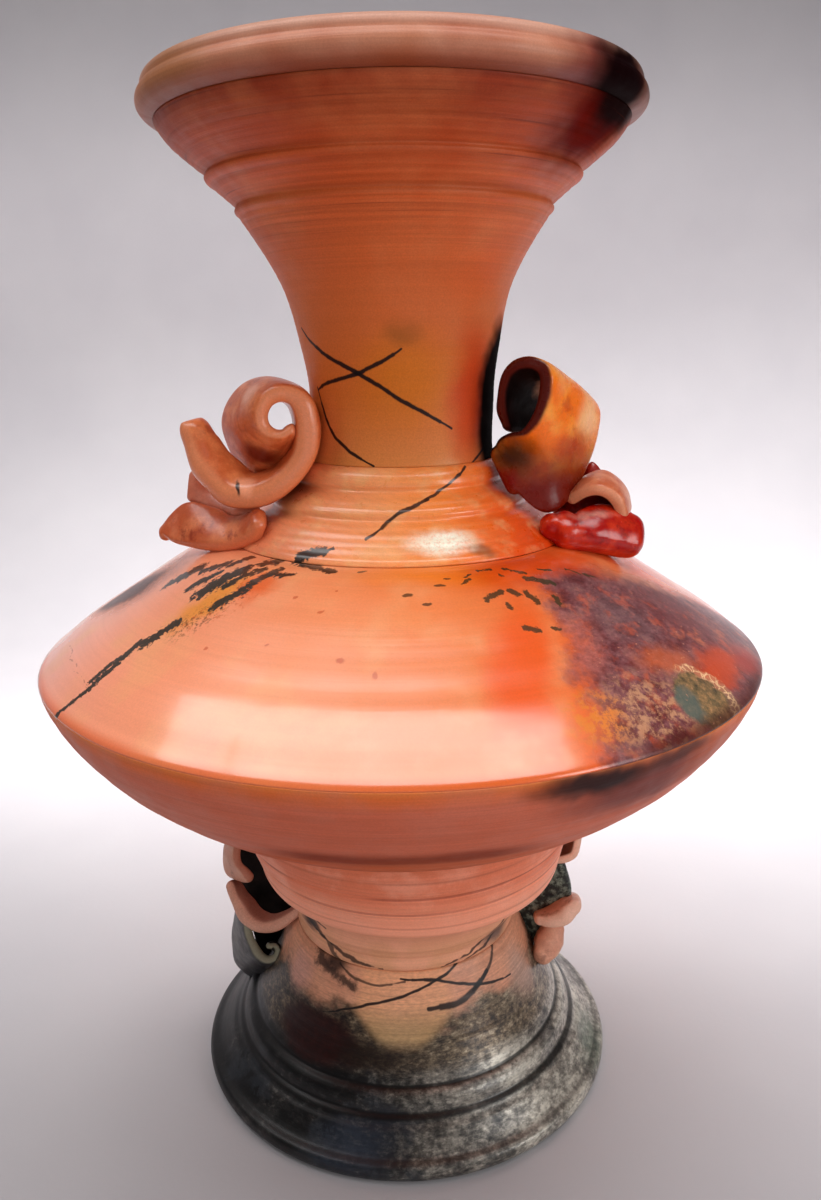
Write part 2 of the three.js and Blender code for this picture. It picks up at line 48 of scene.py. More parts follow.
# ------------------------------------------------------------------ outlines
# Outer outline of each thrown section, in millimetres: runs of (radius, height).
# Each run is a smooth curve; runs meet at a crease.
OUT = {
    "pedestal": [
        [(76.2, 0.0), (78.6, 0.5), (79.9, 1.8), (80.3, 4.0), (79.5, 5.9), (77.9, 6.6)],
        [(77.9, 6.6), (76.2, 7.2), (73.2, 10.0), (70.6, 12.9), (68.8, 14.2)],
        [(68.8, 14.2), (67.7, 15.4), (66.0, 16.2)],
        [(66.0, 16.2), (65.5, 18.0), (64.6, 20.1), (62.6, 21.9), (60.9, 22.6)],
        [(60.9, 22.6), (59.9, 24.2), (58.6, 26.6), (55.3, 32.2), (51.1, 40.8), (47.7, 48.2), (44.6, 54.4), (42.8, 56.5)],
    ],
    "stem_cup": [
        [(42.6, 56.7), (43.2, 58.2), (43.0, 60.5), (42.8, 62.2)],
        [(42.8, 62.2), (44.3, 63.8), (44.5, 65.2)],
        [(44.5, 65.2), (45.5, 66.6), (45.6, 68.2), (46.6, 71.2), (49.0, 75.0), (53.2, 78.0), (56.6, 80.2), (57.9, 82.4),
         (58.5, 85.6), (59.7, 89.2), (60.9, 93.0), (62.7, 99.4), (64.4, 106.5), (65.6, 112.6), (66.5, 117.2)],
    ],
    "lower_bowl": [
        [(66.8, 117.5), (72.0, 117.9), (78.0, 119.0), (81.2, 120.3), (84.0, 121.9), (90.0, 125.7), (96.0, 129.8), (102.0, 134.6), (107.0, 139.0),
         (111.5, 143.5), (115.5, 148.4), (119.2, 153.3), (122.4, 158.3), (125.0, 163.6), (126.6, 168.4), (126.8, 169.6)],
    ],
    "shoulder": [
        [(126.8, 169.7), (126.4, 170.5), (123.3, 173.0), (117.4, 177.7), (110.6, 182.5), (102.6, 187.5), (94.6, 192.6),
         (87.2, 197.4), (79.6, 202.2), (72.4, 206.3), (64.6, 209.2), (59.6, 210.2)],
    ],
    "collar": [
        [(59.5, 210.4), (58.6, 212.0), (57.0, 213.0)],
        [(57.0, 213.0), (52.6, 216.8), (48.9, 219.8), (46.4, 221.2), (44.9, 221.9)],
        [(44.9, 221.9), (45.3, 223.3), (44.2, 225.0), (41.6, 227.0), (38.9, 228.8), (37.2, 229.9)],
        [(37.2, 229.9), (37.9, 231.4), (37.3, 233.4), (36.0, 235.4), (34.2, 236.6), (33.1, 236.9)],
    ],
    "neck": [
        [(33.1, 237.0), (32.7, 238.6), (32.3, 241.0), (31.9, 246.0), (31.8, 252.0), (32.0, 262.0), (32.9, 269.0), (34.0, 275.0), (35.9, 285.0),
         (38.2, 293.0), (41.7, 300.4), (46.1, 307.8), (50.2, 314.0), (51.3, 315.6)],
        [(51.3, 315.6), (52.4, 316.5), (52.4, 317.4), (51.6, 318.2)],
        [(51.6, 318.2), (53.4, 319.7), (56.4, 322.2), (59.6, 324.9)],
        [(59.6, 324.9), (61.2, 325.9), (61.4, 326.9), (60.5, 327.8)],
        [(60.5, 327.8), (63.2, 329.7), (67.3, 332.9), (72.2, 337.2), (75.0, 340.9), (75.7, 342.3)],
    ],
    "rim": [
        [(75.7, 342.4), (76.8, 342.9), (78.9, 344.0), (80.4, 345.8), (80.75, 347.4), (80.2, 349.2), (78.9, 350.6)],
        [(78.9, 350.6), (79.0, 351.9), (78.3, 353.5), (76.9, 354.4), (75.6, 353.9)],
    ],
}
# Inner surface of each section, from its upper edge down to its lower edge.
INN = {
    "pedestal": [(40.0, 56.3), (38.6, 53.0), (41.6, 43.0), (46.4, 33.6), (52.0, 24.5), (57.8, 17.0), (64.6, 9.5), (70.2, 3.4), (72.6, 0.4), (73.4, 0.0)],
    "stem_cup": [(60.4, 117.2), (58.9, 114.0), (57.9, 107.0), (55.4, 97.0), (52.0, 88.5), (47.6, 83.2), (42.2, 79.0), (39.4, 74.0), (38.2, 67.0), (38.6, 58.0), (40.0, 56.6)],
    "shoulder": [(54.0, 208.2), (55.6, 205.4), (62.0, 203.0), (70.4, 200.9), (76.6, 197.8), (84.0, 192.6), (91.6, 186.8), (99.6, 181.8),
                 (107.4, 176.8), (113.4, 172.4), (117.8, 169.0), (119.4, 168.4)],
    "collar": [(29.0, 236.0), (28.4, 232.0), (30.6, 227.0), (35.4, 221.6), (41.6, 216.4), (47.6, 211.4), (51.6, 208.6), (53.8, 208.4)],
    "neck": [(70.4, 342.4), (69.4, 342.2), (65.6, 339.2), (59.8, 334.2), (53.6, 328.0), (47.8, 321.0), (42.2, 312.8), (37.2, 303.8), (33.6, 295.2),
             (31.2, 285.6), (29.2, 274.0), (28.0, 260.0), (27.6, 247.0), (28.0, 238.0), (29.2, 236.2)],
    "rim": [(74.4, 352.8), (73.2, 350.6), (71.8, 347.2), (70.6, 343.4), (70.8, 342.6)],
}

# Stations of each applied clay strip, millimetres: front edge x, y, z, back edge x, y, z, thickness.
STRIPS = {
    "upper_left_scroll": [
        [-70.5, -19.0, 245.8, -63.6, -13.0, 247.4, 10.5],
        [-69.6, -21.0, 242.1, -61.6, -12.0, 244.3, 11.2],
        [-66.8, -24.0, 236.5, -58.2, -12.0, 238.8, 11.4],
        [-62.4, -26.0, 231.4, -54.4, -12.0, 234.7, 11.0],
        [-57.4, -28.0, 227.7, -51.0, -11.0, 231.1, 10.4],
        [-50.9, -30.0, 227.0, -49.1, -10.0, 229.5, 9.8],
        [-44.8, -31.0, 228.0, -46.5, -9.0, 229.7, 9.4],
        [-38.7, -32.0, 231.0, -42.8, -8.0, 230.9, 9.0],
        [-33.3, -32.0, 235.8, -37.7, -8.0, 234.6, 8.8],
        [-29.5, -32.0, 241.9, -33.3, -8.0, 240.4, 8.8],
        [-28.2, -32.0, 249.1, -31.7, -8.0, 247.6, 8.8],
        [-28.9, -32.0, 255.4, -32.9, -7.0, 254.3, 8.4],
        [-31.9, -32.0, 259.5, -36.2, -6.0, 258.9, 7.4],
        [-36.3, -32.0, 260.4, -43.2, -6.0, 262.3, 6.6],
        [-40.2, -32.0, 258.6, -51.1, -6.0, 260.8, 6.2],
        [-42.2, -32.0, 254.9, -56.5, -6.0, 255.5, 6.0],
        [-41.8, -32.0, 250.9, -58.7, -6.0, 248.7, 6.0],
        [-39.4, -32.0, 248.6, -57.1, -6.0, 240.9, 5.8],
        [-36.2, -32.0, 248.6, -52.1, -7.0, 234.0, 5.6],
        [-33.4, -31.0, 250.0, -44.5, -8.0, 232.0, 5.2],
    ],
    "upper_left_leaf": [
        [-80.5, -15.0, 211.3, -81.7, -9.0, 214.0, 5.0],
        [-77.4, -17.0, 209.9, -78.5, -9.0, 218.5, 5.2],
        [-73.5, -19.0, 209.2, -74.8, -9.0, 221.7, 5.4],
        [-69.1, -22.0, 209.1, -70.5, -11.0, 223.0, 5.6],
        [-64.1, -25.0, 209.4, -65.6, -13.0, 221.9, 6.0],
        [-59.2, -28.0, 209.9, -61.1, -14.0, 220.3, 6.2],
        [-54.8, -30.0, 210.7, -56.9, -17.0, 218.0, 6.6],
        [-50.4, -32.0, 212.1, -52.3, -20.0, 218.5, 6.8],
        [-46.7, -34.0, 214.4, -48.4, -23.0, 220.7, 6.2],
        [-45.1, -35.0, 217.6, -46.2, -26.0, 221.9, 5.4],
    ],
    "upper_left_web": [
        [-71.3, -9.0, 222.3, -70.3, -5.0, 233.3, 5.2],
        [-67.2, -11.0, 220.2, -66.4, -5.0, 229.0, 5.2],
        [-61.8, -14.0, 219.2, -61.0, -7.0, 225.7, 5.2],
        [-56.0, -18.0, 218.5, -55.0, -10.0, 223.7, 5.2],
        [-50.0, -22.0, 218.8, -49.6, -14.0, 223.2, 5.0],
    ],
    "upper_right_curl": [
        [32.5, -19.0, 241.9, 39.9, -24.0, 226.5, 6.0],
        [33.9, -21.0, 244.7, 47.3, -24.0, 220.6, 6.2],
        [36.8, -25.0, 246.7, 54.5, -21.0, 221.0, 6.2],
        [40.9, -29.0, 248.0, 60.0, -15.0, 226.5, 6.0],
        [44.3, -31.0, 252.8, 65.3, -10.0, 236.3, 5.6],
        [46.4, -31.0, 258.7, 68.0, -7.0, 244.2, 5.4],
        [46.9, -31.0, 264.0, 68.3, -6.0, 250.6, 5.4],
        [45.7, -30.0, 267.6, 65.6, -5.0, 254.9, 5.4],
        [42.0, -29.0, 269.5, 60.5, -4.0, 257.9, 5.4],
        [37.8, -27.0, 268.6, 56.8, -3.0, 258.6, 5.2],
        [34.9, -25.0, 265.4, 53.9, -2.0, 256.9, 5.0],
        [33.6, -23.0, 260.3, 51.7, -1.0, 253.4, 4.8],
        [33.8, -21.0, 254.4, 50.4, -1.0, 249.3, 4.6],
        [35.6, -20.0, 248.8, 49.7, -2.0, 245.0, 4.2],
    ],
    "upper_right_base": [
        [54.3, -14.0, 215.6, 61.2, -4.0, 225.1, 4.6],
        [59.2, -14.0, 214.2, 64.9, -4.0, 230.7, 4.8],
        [64.8, -14.0, 213.4, 67.9, -4.0, 234.2, 4.8],
        [70.0, -14.0, 213.3, 71.7, -5.0, 230.1, 4.6],
        [75.1, -14.0, 214.0, 76.3, -6.0, 224.5, 4.2],
    ],
    "upper_right_arch": [
        [58.4, -21.0, 223.7, 62.8, -9.0, 226.6, 4.8],
        [61.8, -24.0, 226.5, 66.3, -10.0, 229.4, 5.0],
        [65.7, -26.0, 227.4, 70.2, -11.0, 230.9, 5.0],
        [69.7, -26.0, 226.1, 74.8, -11.0, 228.4, 5.0],
        [72.5, -26.0, 223.4, 77.5, -12.0, 224.7, 5.0],
        [74.2, -25.0, 219.5, 78.7, -12.0, 220.2, 4.8],
    ],
    "upper_right_tongue": [
        [50.7, -32.0, 213.1, 51.6, -25.0, 219.1, 9.0],
        [53.4, -34.0, 211.8, 54.5, -23.0, 219.0, 10.2],
        [56.3, -34.0, 211.1, 58.1, -22.0, 217.4, 10.8],
        [59.5, -33.0, 210.2, 61.4, -20.0, 219.1, 11.2],
        [63.6, -32.0, 209.2, 65.8, -18.0, 220.4, 11.6],
        [68.4, -30.0, 207.7, 70.8, -17.0, 220.5, 11.8],
        [72.9, -28.0, 206.2, 75.2, -16.0, 219.2, 11.6],
        [76.4, -27.0, 205.5, 79.0, -16.0, 217.1, 11.0],
    ],
    "lower_left_upper_fold": [
        [-64.4, -4.0, 87.8, -70.8, 8.0, 82.0, 3.8],
        [-65.1, -6.0, 84.1, -72.3, 8.0, 77.0, 3.8],
        [-64.4, -7.0, 80.3, -72.7, 8.0, 72.0, 4.0],
        [-62.2, -7.0, 76.8, -71.1, 7.0, 68.0, 4.2],
        [-60.4, -7.0, 74.1, -66.8, 5.0, 66.9, 4.2],
    ],
    "lower_left_mid_fold": [
        [-69.8, -1.0, 66.1, -69.2, 8.0, 61.9, 4.6],
        [-68.0, -4.0, 62.1, -66.0, 7.0, 57.8, 5.4],
        [-64.9, -7.0, 58.1, -62.2, 5.0, 54.8, 6.0],
        [-61.2, -9.0, 54.5, -59.2, 3.0, 52.4, 6.4],
        [-56.4, -10.0, 52.8, -54.9, 1.0, 50.9, 6.4],
        [-50.9, -10.0, 54.1, -50.4, -2.0, 52.8, 5.8],
        [-46.0, -10.0, 57.2, -46.0, -4.0, 55.9, 4.8],
        [-42.3, -10.0, 60.2, -42.5, -5.0, 58.8, 4.0],
    ],
    "lower_left_scroll": [
        [-65.2, -3.0, 57.8, -68.9, 12.0, 50.0, 3.4],
        [-63.2, -5.0, 52.7, -71.5, 14.0, 40.1, 3.8],
        [-61.8, -6.0, 46.0, -72.8, 15.0, 29.7, 4.2],
        [-59.1, -7.0, 40.3, -72.0, 15.0, 20.8, 4.6],
        [-55.5, -8.0, 37.7, -67.4, 14.0, 16.0, 4.8],
        [-52.3, -8.0, 38.6, -60.7, 12.0, 15.4, 4.4],
        [-51.0, -8.0, 41.3, -55.1, 10.0, 20.8, 3.8],
        [-52.0, -8.0, 43.6, -52.3, 8.0, 29.0, 3.4],
        [-54.6, -7.0, 43.0, -54.9, 7.0, 34.1, 3.0],
    ],
    "lower_left_back_sheet": [
        [-71.9, 14.0, 75.8, -58.9, 16.0, 76.4, 4.0],
        [-72.1, 15.0, 67.9, -53.9, 18.0, 65.8, 4.0],
        [-70.9, 16.0, 56.9, -48.6, 18.0, 53.4, 4.2],
        [-67.4, 17.0, 47.7, -42.2, 18.0, 44.7, 4.2],
        [-66.0, 18.0, 37.3, -40.1, 18.0, 35.0, 4.2],
        [-64.4, 18.0, 26.5, -44.8, 18.0, 23.2, 4.2],
        [-65.0, 18.0, 16.5, -50.4, 18.0, 13.3, 4.0],
    ],
    "lower_right_upper_fold": [
        [59.8, -3.0, 77.0, 58.2, 7.0, 75.2, 4.0],
        [63.2, -4.0, 78.0, 61.5, 8.0, 75.5, 4.2],
        [66.7, -4.0, 80.1, 63.7, 9.0, 77.1, 4.4],
        [68.1, -4.0, 84.5, 64.4, 9.0, 80.8, 4.4],
        [68.7, -4.0, 89.3, 64.7, 9.0, 84.8, 4.2],
    ],
    "lower_right_sheet": [
        [63.2, 3.0, 75.6, 59.6, 6.0, 74.9, 4.2],
        [65.2, 2.0, 69.9, 54.6, 6.0, 66.7, 4.6],
        [66.9, 1.0, 63.2, 49.9, 6.0, 58.5, 5.0],
        [66.5, 0.0, 57.5, 44.7, 6.0, 52.1, 5.0],
        [63.5, 0.0, 51.1, 44.0, 6.0, 42.7, 5.0],
        [58.0, 0.0, 43.8, 46.6, 6.0, 33.2, 4.6],
    ],
    "lower_right_mid_fold": [
        [53.3, -9.0, 54.1, 54.2, 3.0, 49.3, 4.4],
        [56.5, -11.0, 54.5, 58.8, 4.0, 50.9, 5.8],
        [60.3, -12.0, 55.5, 63.4, 5.0, 53.4, 7.4],
        [63.3, -12.0, 57.7, 66.8, 6.0, 54.6, 7.8],
        [65.9, -10.0, 59.9, 69.0, 7.0, 53.9, 6.6],
    ],
    "lower_right_tongue": [
        [58.5, -9.0, 49.9, 61.0, 4.0, 42.4, 8.6],
        [56.6, -12.0, 47.0, 59.8, 3.0, 38.9, 11.0],
        [54.9, -13.0, 43.7, 58.1, 2.0, 35.3, 10.6],
        [53.7, -14.0, 42.1, 56.7, 1.0, 33.7, 8.2],
    ],
}


# ------------------------------------------------------------------ geometry
def spline(points, step):
    """Points about step apart on a centripetal curve through the given ones, ends kept."""
    p = np.array(points, float)
    if len(p) == 2:
        n = max(2, int(math.ceil(np.linalg.norm(p[1] - p[0]) / step)) + 1)
        return [p[0] + (p[1] - p[0]) * t for t in np.linspace(0, 1, n)]
    q = np.vstack([2 * p[0] - p[1], p, 2 * p[-1] - p[-2]])
    out = []
    for i in range(1, len(q) - 2):
        a, b, c, d = q[i - 1], q[i], q[i + 1], q[i + 2]
        t0 = 0.0
        t1 = t0 + max(1e-6, np.linalg.norm(b - a)) ** 0.5
        t2 = t1 + max(1e-6, np.linalg.norm(c - b)) ** 0.5
        t3 = t2 + max(1e-6, np.linalg.norm(d - c)) ** 0.5
        n = max(1, int(math.ceil(np.linalg.norm(c - b) / step)))
        for k in range(n):
            t = t1 + (t2 - t1) * k / n
            a1 = a * (t1 - t) / (t1 - t0) + b * (t - t0) / (t1 - t0)
            a2 = b * (t2 - t) / (t2 - t1) + c * (t - t1) / (t2 - t1)
            a3 = c * (t3 - t) / (t3 - t2) + d * (t - t2) / (t3 - t2)
            b1 = a1 * (t2 - t) / (t2 - t0) + a2 * (t - t0) / (t2 - t0)
            b2 = a2 * (t3 - t) / (t3 - t1) + a3 * (t - t1) / (t3 - t1)
            out.append(b1 * (t2 - t) / (t2 - t1) + b2 * (t - t1) / (t2 - t1))
    out.append(p[-1])
    return out


def outline(name, step=0.6):
    pts = []
    for run in OUT[name]:
        s = spline(run, step)
        pts += s if not pts else s[1:]
    p = np.array(pts)
    for _ in range(2):                       # rounds each crease by a fraction of a millimetre
        p[1:-1] = 0.25 * p[:-2] + 0.5 * p[1:-1] + 0.25 * p[2:]
    return p


def lean(z):
    """The thrown body is not quite plumb: its axis stands a little to the right at the neck's waist and at the cup."""
    return 1.6 * np.exp(-((z - 258) / np.where(z < 258, 20.0, 34.0)) ** 2) + 2.4 * np.exp(-((z - 81) / np.where(z < 81, 13.0, 22.0)) ** 2)


def waves(seed, n, low, high):
    rng = np.random.RandomState(seed)
    return [(rng.uniform(low, high), rng.uniform(0, TAU), rng.uniform(0.4, 1.0)) for _ in range(n)]


def fresh_object(name, verts, faces):
    me = bpy.data.meshes.new(name)
    me.from_pydata([tuple(v) for v in verts], [], faces)
    me.validate()
    me.polygons.foreach_set("use_smooth", [True] * len(me.polygons))
    me.update()
    ob = bpy.data.objects.new(name, me)
    bpy.context.scene.collection.objects.link(ob)
    return ob


def thrown(name, rings=None, closed_bottom=None, wobble=0.0, detail=None):
    """One thrown section as a closed wall: outer outline up, inner surface down, turned round the axis."""
    out = outline(name)
    inn = np.array(spline(INN[name], 2.0)) if name in INN else None
    ang = np.arange(SEGS) * TAU / SEGS
    prof = [(r, z, True) for r, z in out]
    if inn is not None:
        prof += [(r, z, False) for r, z in inn]
    n = len(prof)
    R = np.array([p[0] for p in prof])[:, None] * np.ones(SEGS)[None]
    Z = np.array([p[1] for p in prof])[:, None] * np.ones(SEGS)[None]
    A = np.ones(n)[:, None] * ang[None]
    outer = np.array([p[2] for p in prof])[:, None]
    # normal of the outline, for displacements along it
    pr = np.array([(p[0], p[1]) for p in prof])
    tan = np.roll(pr, -1, 0) - np.roll(pr, 1, 0)
    tan /= np.maximum(1e-9, np.linalg.norm(tan, axis=1))[:, None]
    nr, nz = tan[:, 1][:, None], -tan[:, 0][:, None]
    D = np.zeros_like(R)
    if detail is not None:
        D += np.where(outer, detail(A, Z, R), 0.0)
    R = R + nr * D
    Z = np.maximum(Z + nz * D, 0.03)          # nothing reaches below the floor
    th = A - math.pi / 2                      # column 0 faces the front, -Y
    X, Y = R * np.cos(th) + lean(Z), R * np.sin(th)
    verts = np.stack([X, Y, Z], -1).reshape(-1, 3) * MM
    faces = []
    for i in range(n):
        j = (i + 1) % n
        for k in range(SEGS):
            l = (k + 1) % SEGS
            faces.append((i * SEGS + k, i * SEGS + l, j * SEGS + l, j * SEGS + k))
    ob = fresh_object("vase_" + name, verts, faces)
    return ob


def bowl(name, floor, detail=None):
    """The wide bowl: a closed wall whose underside and floor run to the axis."""
    out = outline(name)
    under = np.array(spline([(0.6, 120.6), (20.0, 120.6), (45.0, 120.6), (58.0, 120.2), (62.0, 118.2), (66.0, 117.5)], 2.5))
    inn = np.array(spline(floor, 2.2))
    pr = np.vstack([under, out, inn])
    flags = np.array([0] * len(under) + [1] * len(out) + [0] * len(inn))[:, None]
    n = len(pr)
    ang = np.arange(SEGS) * TAU / SEGS
    R = pr[:, 0][:, None] * np.ones(SEGS)[None]
    Z = pr[:, 1][:, None] * np.ones(SEGS)[None]
    A = np.ones(n)[:, None] * ang[None]
    tan = np.gradient(pr, axis=0)
    tan /= np.maximum(1e-9, np.linalg.norm(tan, axis=1))[:, None]
    nr, nz = tan[:, 1][:, None], -tan[:, 0][:, None]
    D = np.where(flags > 0, detail(A, Z, R) if detail is not None else 0.0, 0.0)
    R = R + nr * D
    Z = Z + nz * D
    th = A - math.pi / 2
    verts = list(np.stack([R * np.cos(th), R * np.sin(th), Z], -1).reshape(-1, 3) * MM)
    faces = []
    for i in range(n - 1):
        for k in range(SEGS):
            l = (k + 1) % SEGS
            faces.append((i * SEGS + k, i * SEGS + l, (i + 1) * SEGS + l, (i + 1) * SEGS + k))
    a = len(verts)
    verts.append(np.array([0, 0, pr[0, 1]]) * MM)
    verts.append(np.array([0, 0, pr[-1, 1]]) * MM)
    for k in range(SEGS):
        l = (k + 1) % SEGS
        faces.append((a, l, k))
        faces.append((a + 1, (n - 1) * SEGS + k, (n - 1) * SEGS + l))
    return fresh_object("vase_" + name, verts, faces)


def strip(name, stations, steps=7, sides=32, seed=1, lumps=0.25, cup=0.0, taper=0.4):
    """A bent strip of clay: a flat bar with round edges swept from its front edge to its back edge."""
    st = np.array(stations, float)
    m = len(st)
    F, B, T = st[:, 0:3], st[:, 3:6], st[:, 6]

    def curve(P, u):
        u = min(max(u, 0.0), 1.0) * (m - 1)
        i = min(m - 2, int(u))
        f = u - i
        p0 = P[i - 1] if i > 0 else 2 * P[0] - P[1]
        p1, p2 = P[i], P[i + 1]
        p3 = P[i + 2] if i + 2 < m else 2 * P[-1] - P[-2]
        return 0.5 * ((2 * p1) + (p2 - p0) * f + (2 * p0 - 5 * p1 + 4 * p2 - p3) * f * f + (3 * p1 - 3 * p2 + p3 - p0) * f ** 3)

    n = (m - 1) * steps
    ws = waves(seed, 5, 0.12, 0.5)
    rings, marks = [], []
    centre = (F.mean(0) + B.mean(0)) / 2

    def ring(u, push, scale):
        f, b = curve(F, u), curve(B, u)
        t = (curve(F, u + 0.004) + curve(B, u + 0.004)) - (curve(F, u - 0.004) + curve(B, u - 0.004))
        t /= np.linalg.norm(t)
        w = b - f
        width = np.linalg.norm(w)
        w /= width
        t = t - w * np.dot(t, w)
        t /= np.linalg.norm(t)
        nn = np.cross(t, w)
        h = float(np.interp(u * (m - 1), np.arange(m), T)) / 2
        mid = (f + b) / 2 + t * push
        flat = max(0.2, width / 2 - h)
        out = []
        for j in range(sides):
            a = TAU * (j + 0.5) / sides
            # more points on the round edges than on the flats
            c, s = math.cos(a), math.sin(a)
            x = (c * h + flat * max(-1.0, min(1.0, c * 1.9))) * scale[0]
            y = s * h * (1.0 + 0.06 * (1 - c * c)) * scale[1]
            y += cup * (1 - (2 * x / width) ** 2)
            p = mid + w * x + nn * y
            d = sum(g * math.sin(fr * (p[0] * 1.3 + p[1] * 0.7 - p[2] * 1.1) + ph) for fr, ph, g in ws) / 3.0
            out.append(p + (w * c + nn * s) * d * lumps)
        rings.append(out)
        turn = 1.0 if np.dot(nn, centre - mid) > 0 else -1.0
        marks.append([(math.cos(TAU * (j + 0.5) / sides), turn * math.sin(TAU * (j + 0.5) / sides), u) for j in range(sides)])

    t0, t1 = T[0] / 2, T[-1] / 2
    for k in (0.985, 0.93, 0.82, 0.66, 0.45, 0.22):
        c = math.sqrt(max(0.0, 1 - k * k))
        ring(0, -t0 * k, (1 - taper + taper * c, c))
    for i in range(n + 1):
        ring(i / n, 0, (1, 1))
    for k in (0.22, 0.45, 0.66, 0.82, 0.93, 0.985):
        c = math.sqrt(max(0.0, 1 - k * k))
        ring(1, t1 * k, (1 - taper + taper * c, c))
    verts = [p * MM for r in rings for p in r]
    extra = [v for r in marks for v in r]
    faces = []
    for i in range(len(rings) - 1):
        for j in range(sides):
            l = (j + 1) % sides
            faces.append((i * sides + j, i * sides + l, (i + 1) * sides + l, (i + 1) * sides + j))
    for i, flip in ((0, True), (len(rings) - 1, False)):
        c = sum(rings[i]) / sides * MM
        verts.append(c)
        extra.append((0.0, 0.0, 0.0 if flip else 1.0))
        k = len(verts) - 1
        for j in range(sides):
            l = (j + 1) % sides
            faces.append((k, i * sides + l, i * sides + j) if flip else (k, i * sides + j, i * sides + l))
    ob = fresh_object(name, verts, faces)
    me = ob.data
    for i, key in enumerate(("across", "inner", "along")):
        at = me.attributes.new(key, "FLOAT", "POINT")
        at.data.foreach_set("value", [v[i] for v in extra])
    import bmesh
    bm = bmesh.new()
    bm.from_mesh(me)
    bmesh.ops.recalc_face_normals(bm, faces=bm.faces)
    bm.to_mesh(me)
    bm.free()
    sub = ob.modifiers.new("smooth", "SUBSURF")
    sub.levels = 1
    sub.render_levels = 1
    return ob

# ------------------------------------------------------------------ materials
def srgb(r, g, b):
    def f(c):
        c /= 255.0
        return c / 12.92 if c <= 0.04045 else ((c + 0.055) / 1.055) ** 2.4
    return (f(r), f(g), f(b), 1.0)


class Sock:
    """A number that a node gives, with plain arithmetic on it."""

    def __init__(self, net, s):
        self.net, self.s = net, s

    def __add__(self, o): return self.net.m("ADD", self, o)
    def __radd__(self, o): return self.net.m("ADD", self, o)
    def __sub__(self, o): return self.net.m("SUBTRACT", self, o)
    def __rsub__(self, o): return self.net.m("SUBTRACT", o, self)
    def __mul__(self, o): return self.net.m("MULTIPLY", self, o)
    def __rmul__(self, o): return self.net.m("MULTIPLY", self, o)
    def __truediv__(self, o): return self.net.m("DIVIDE", self, o)


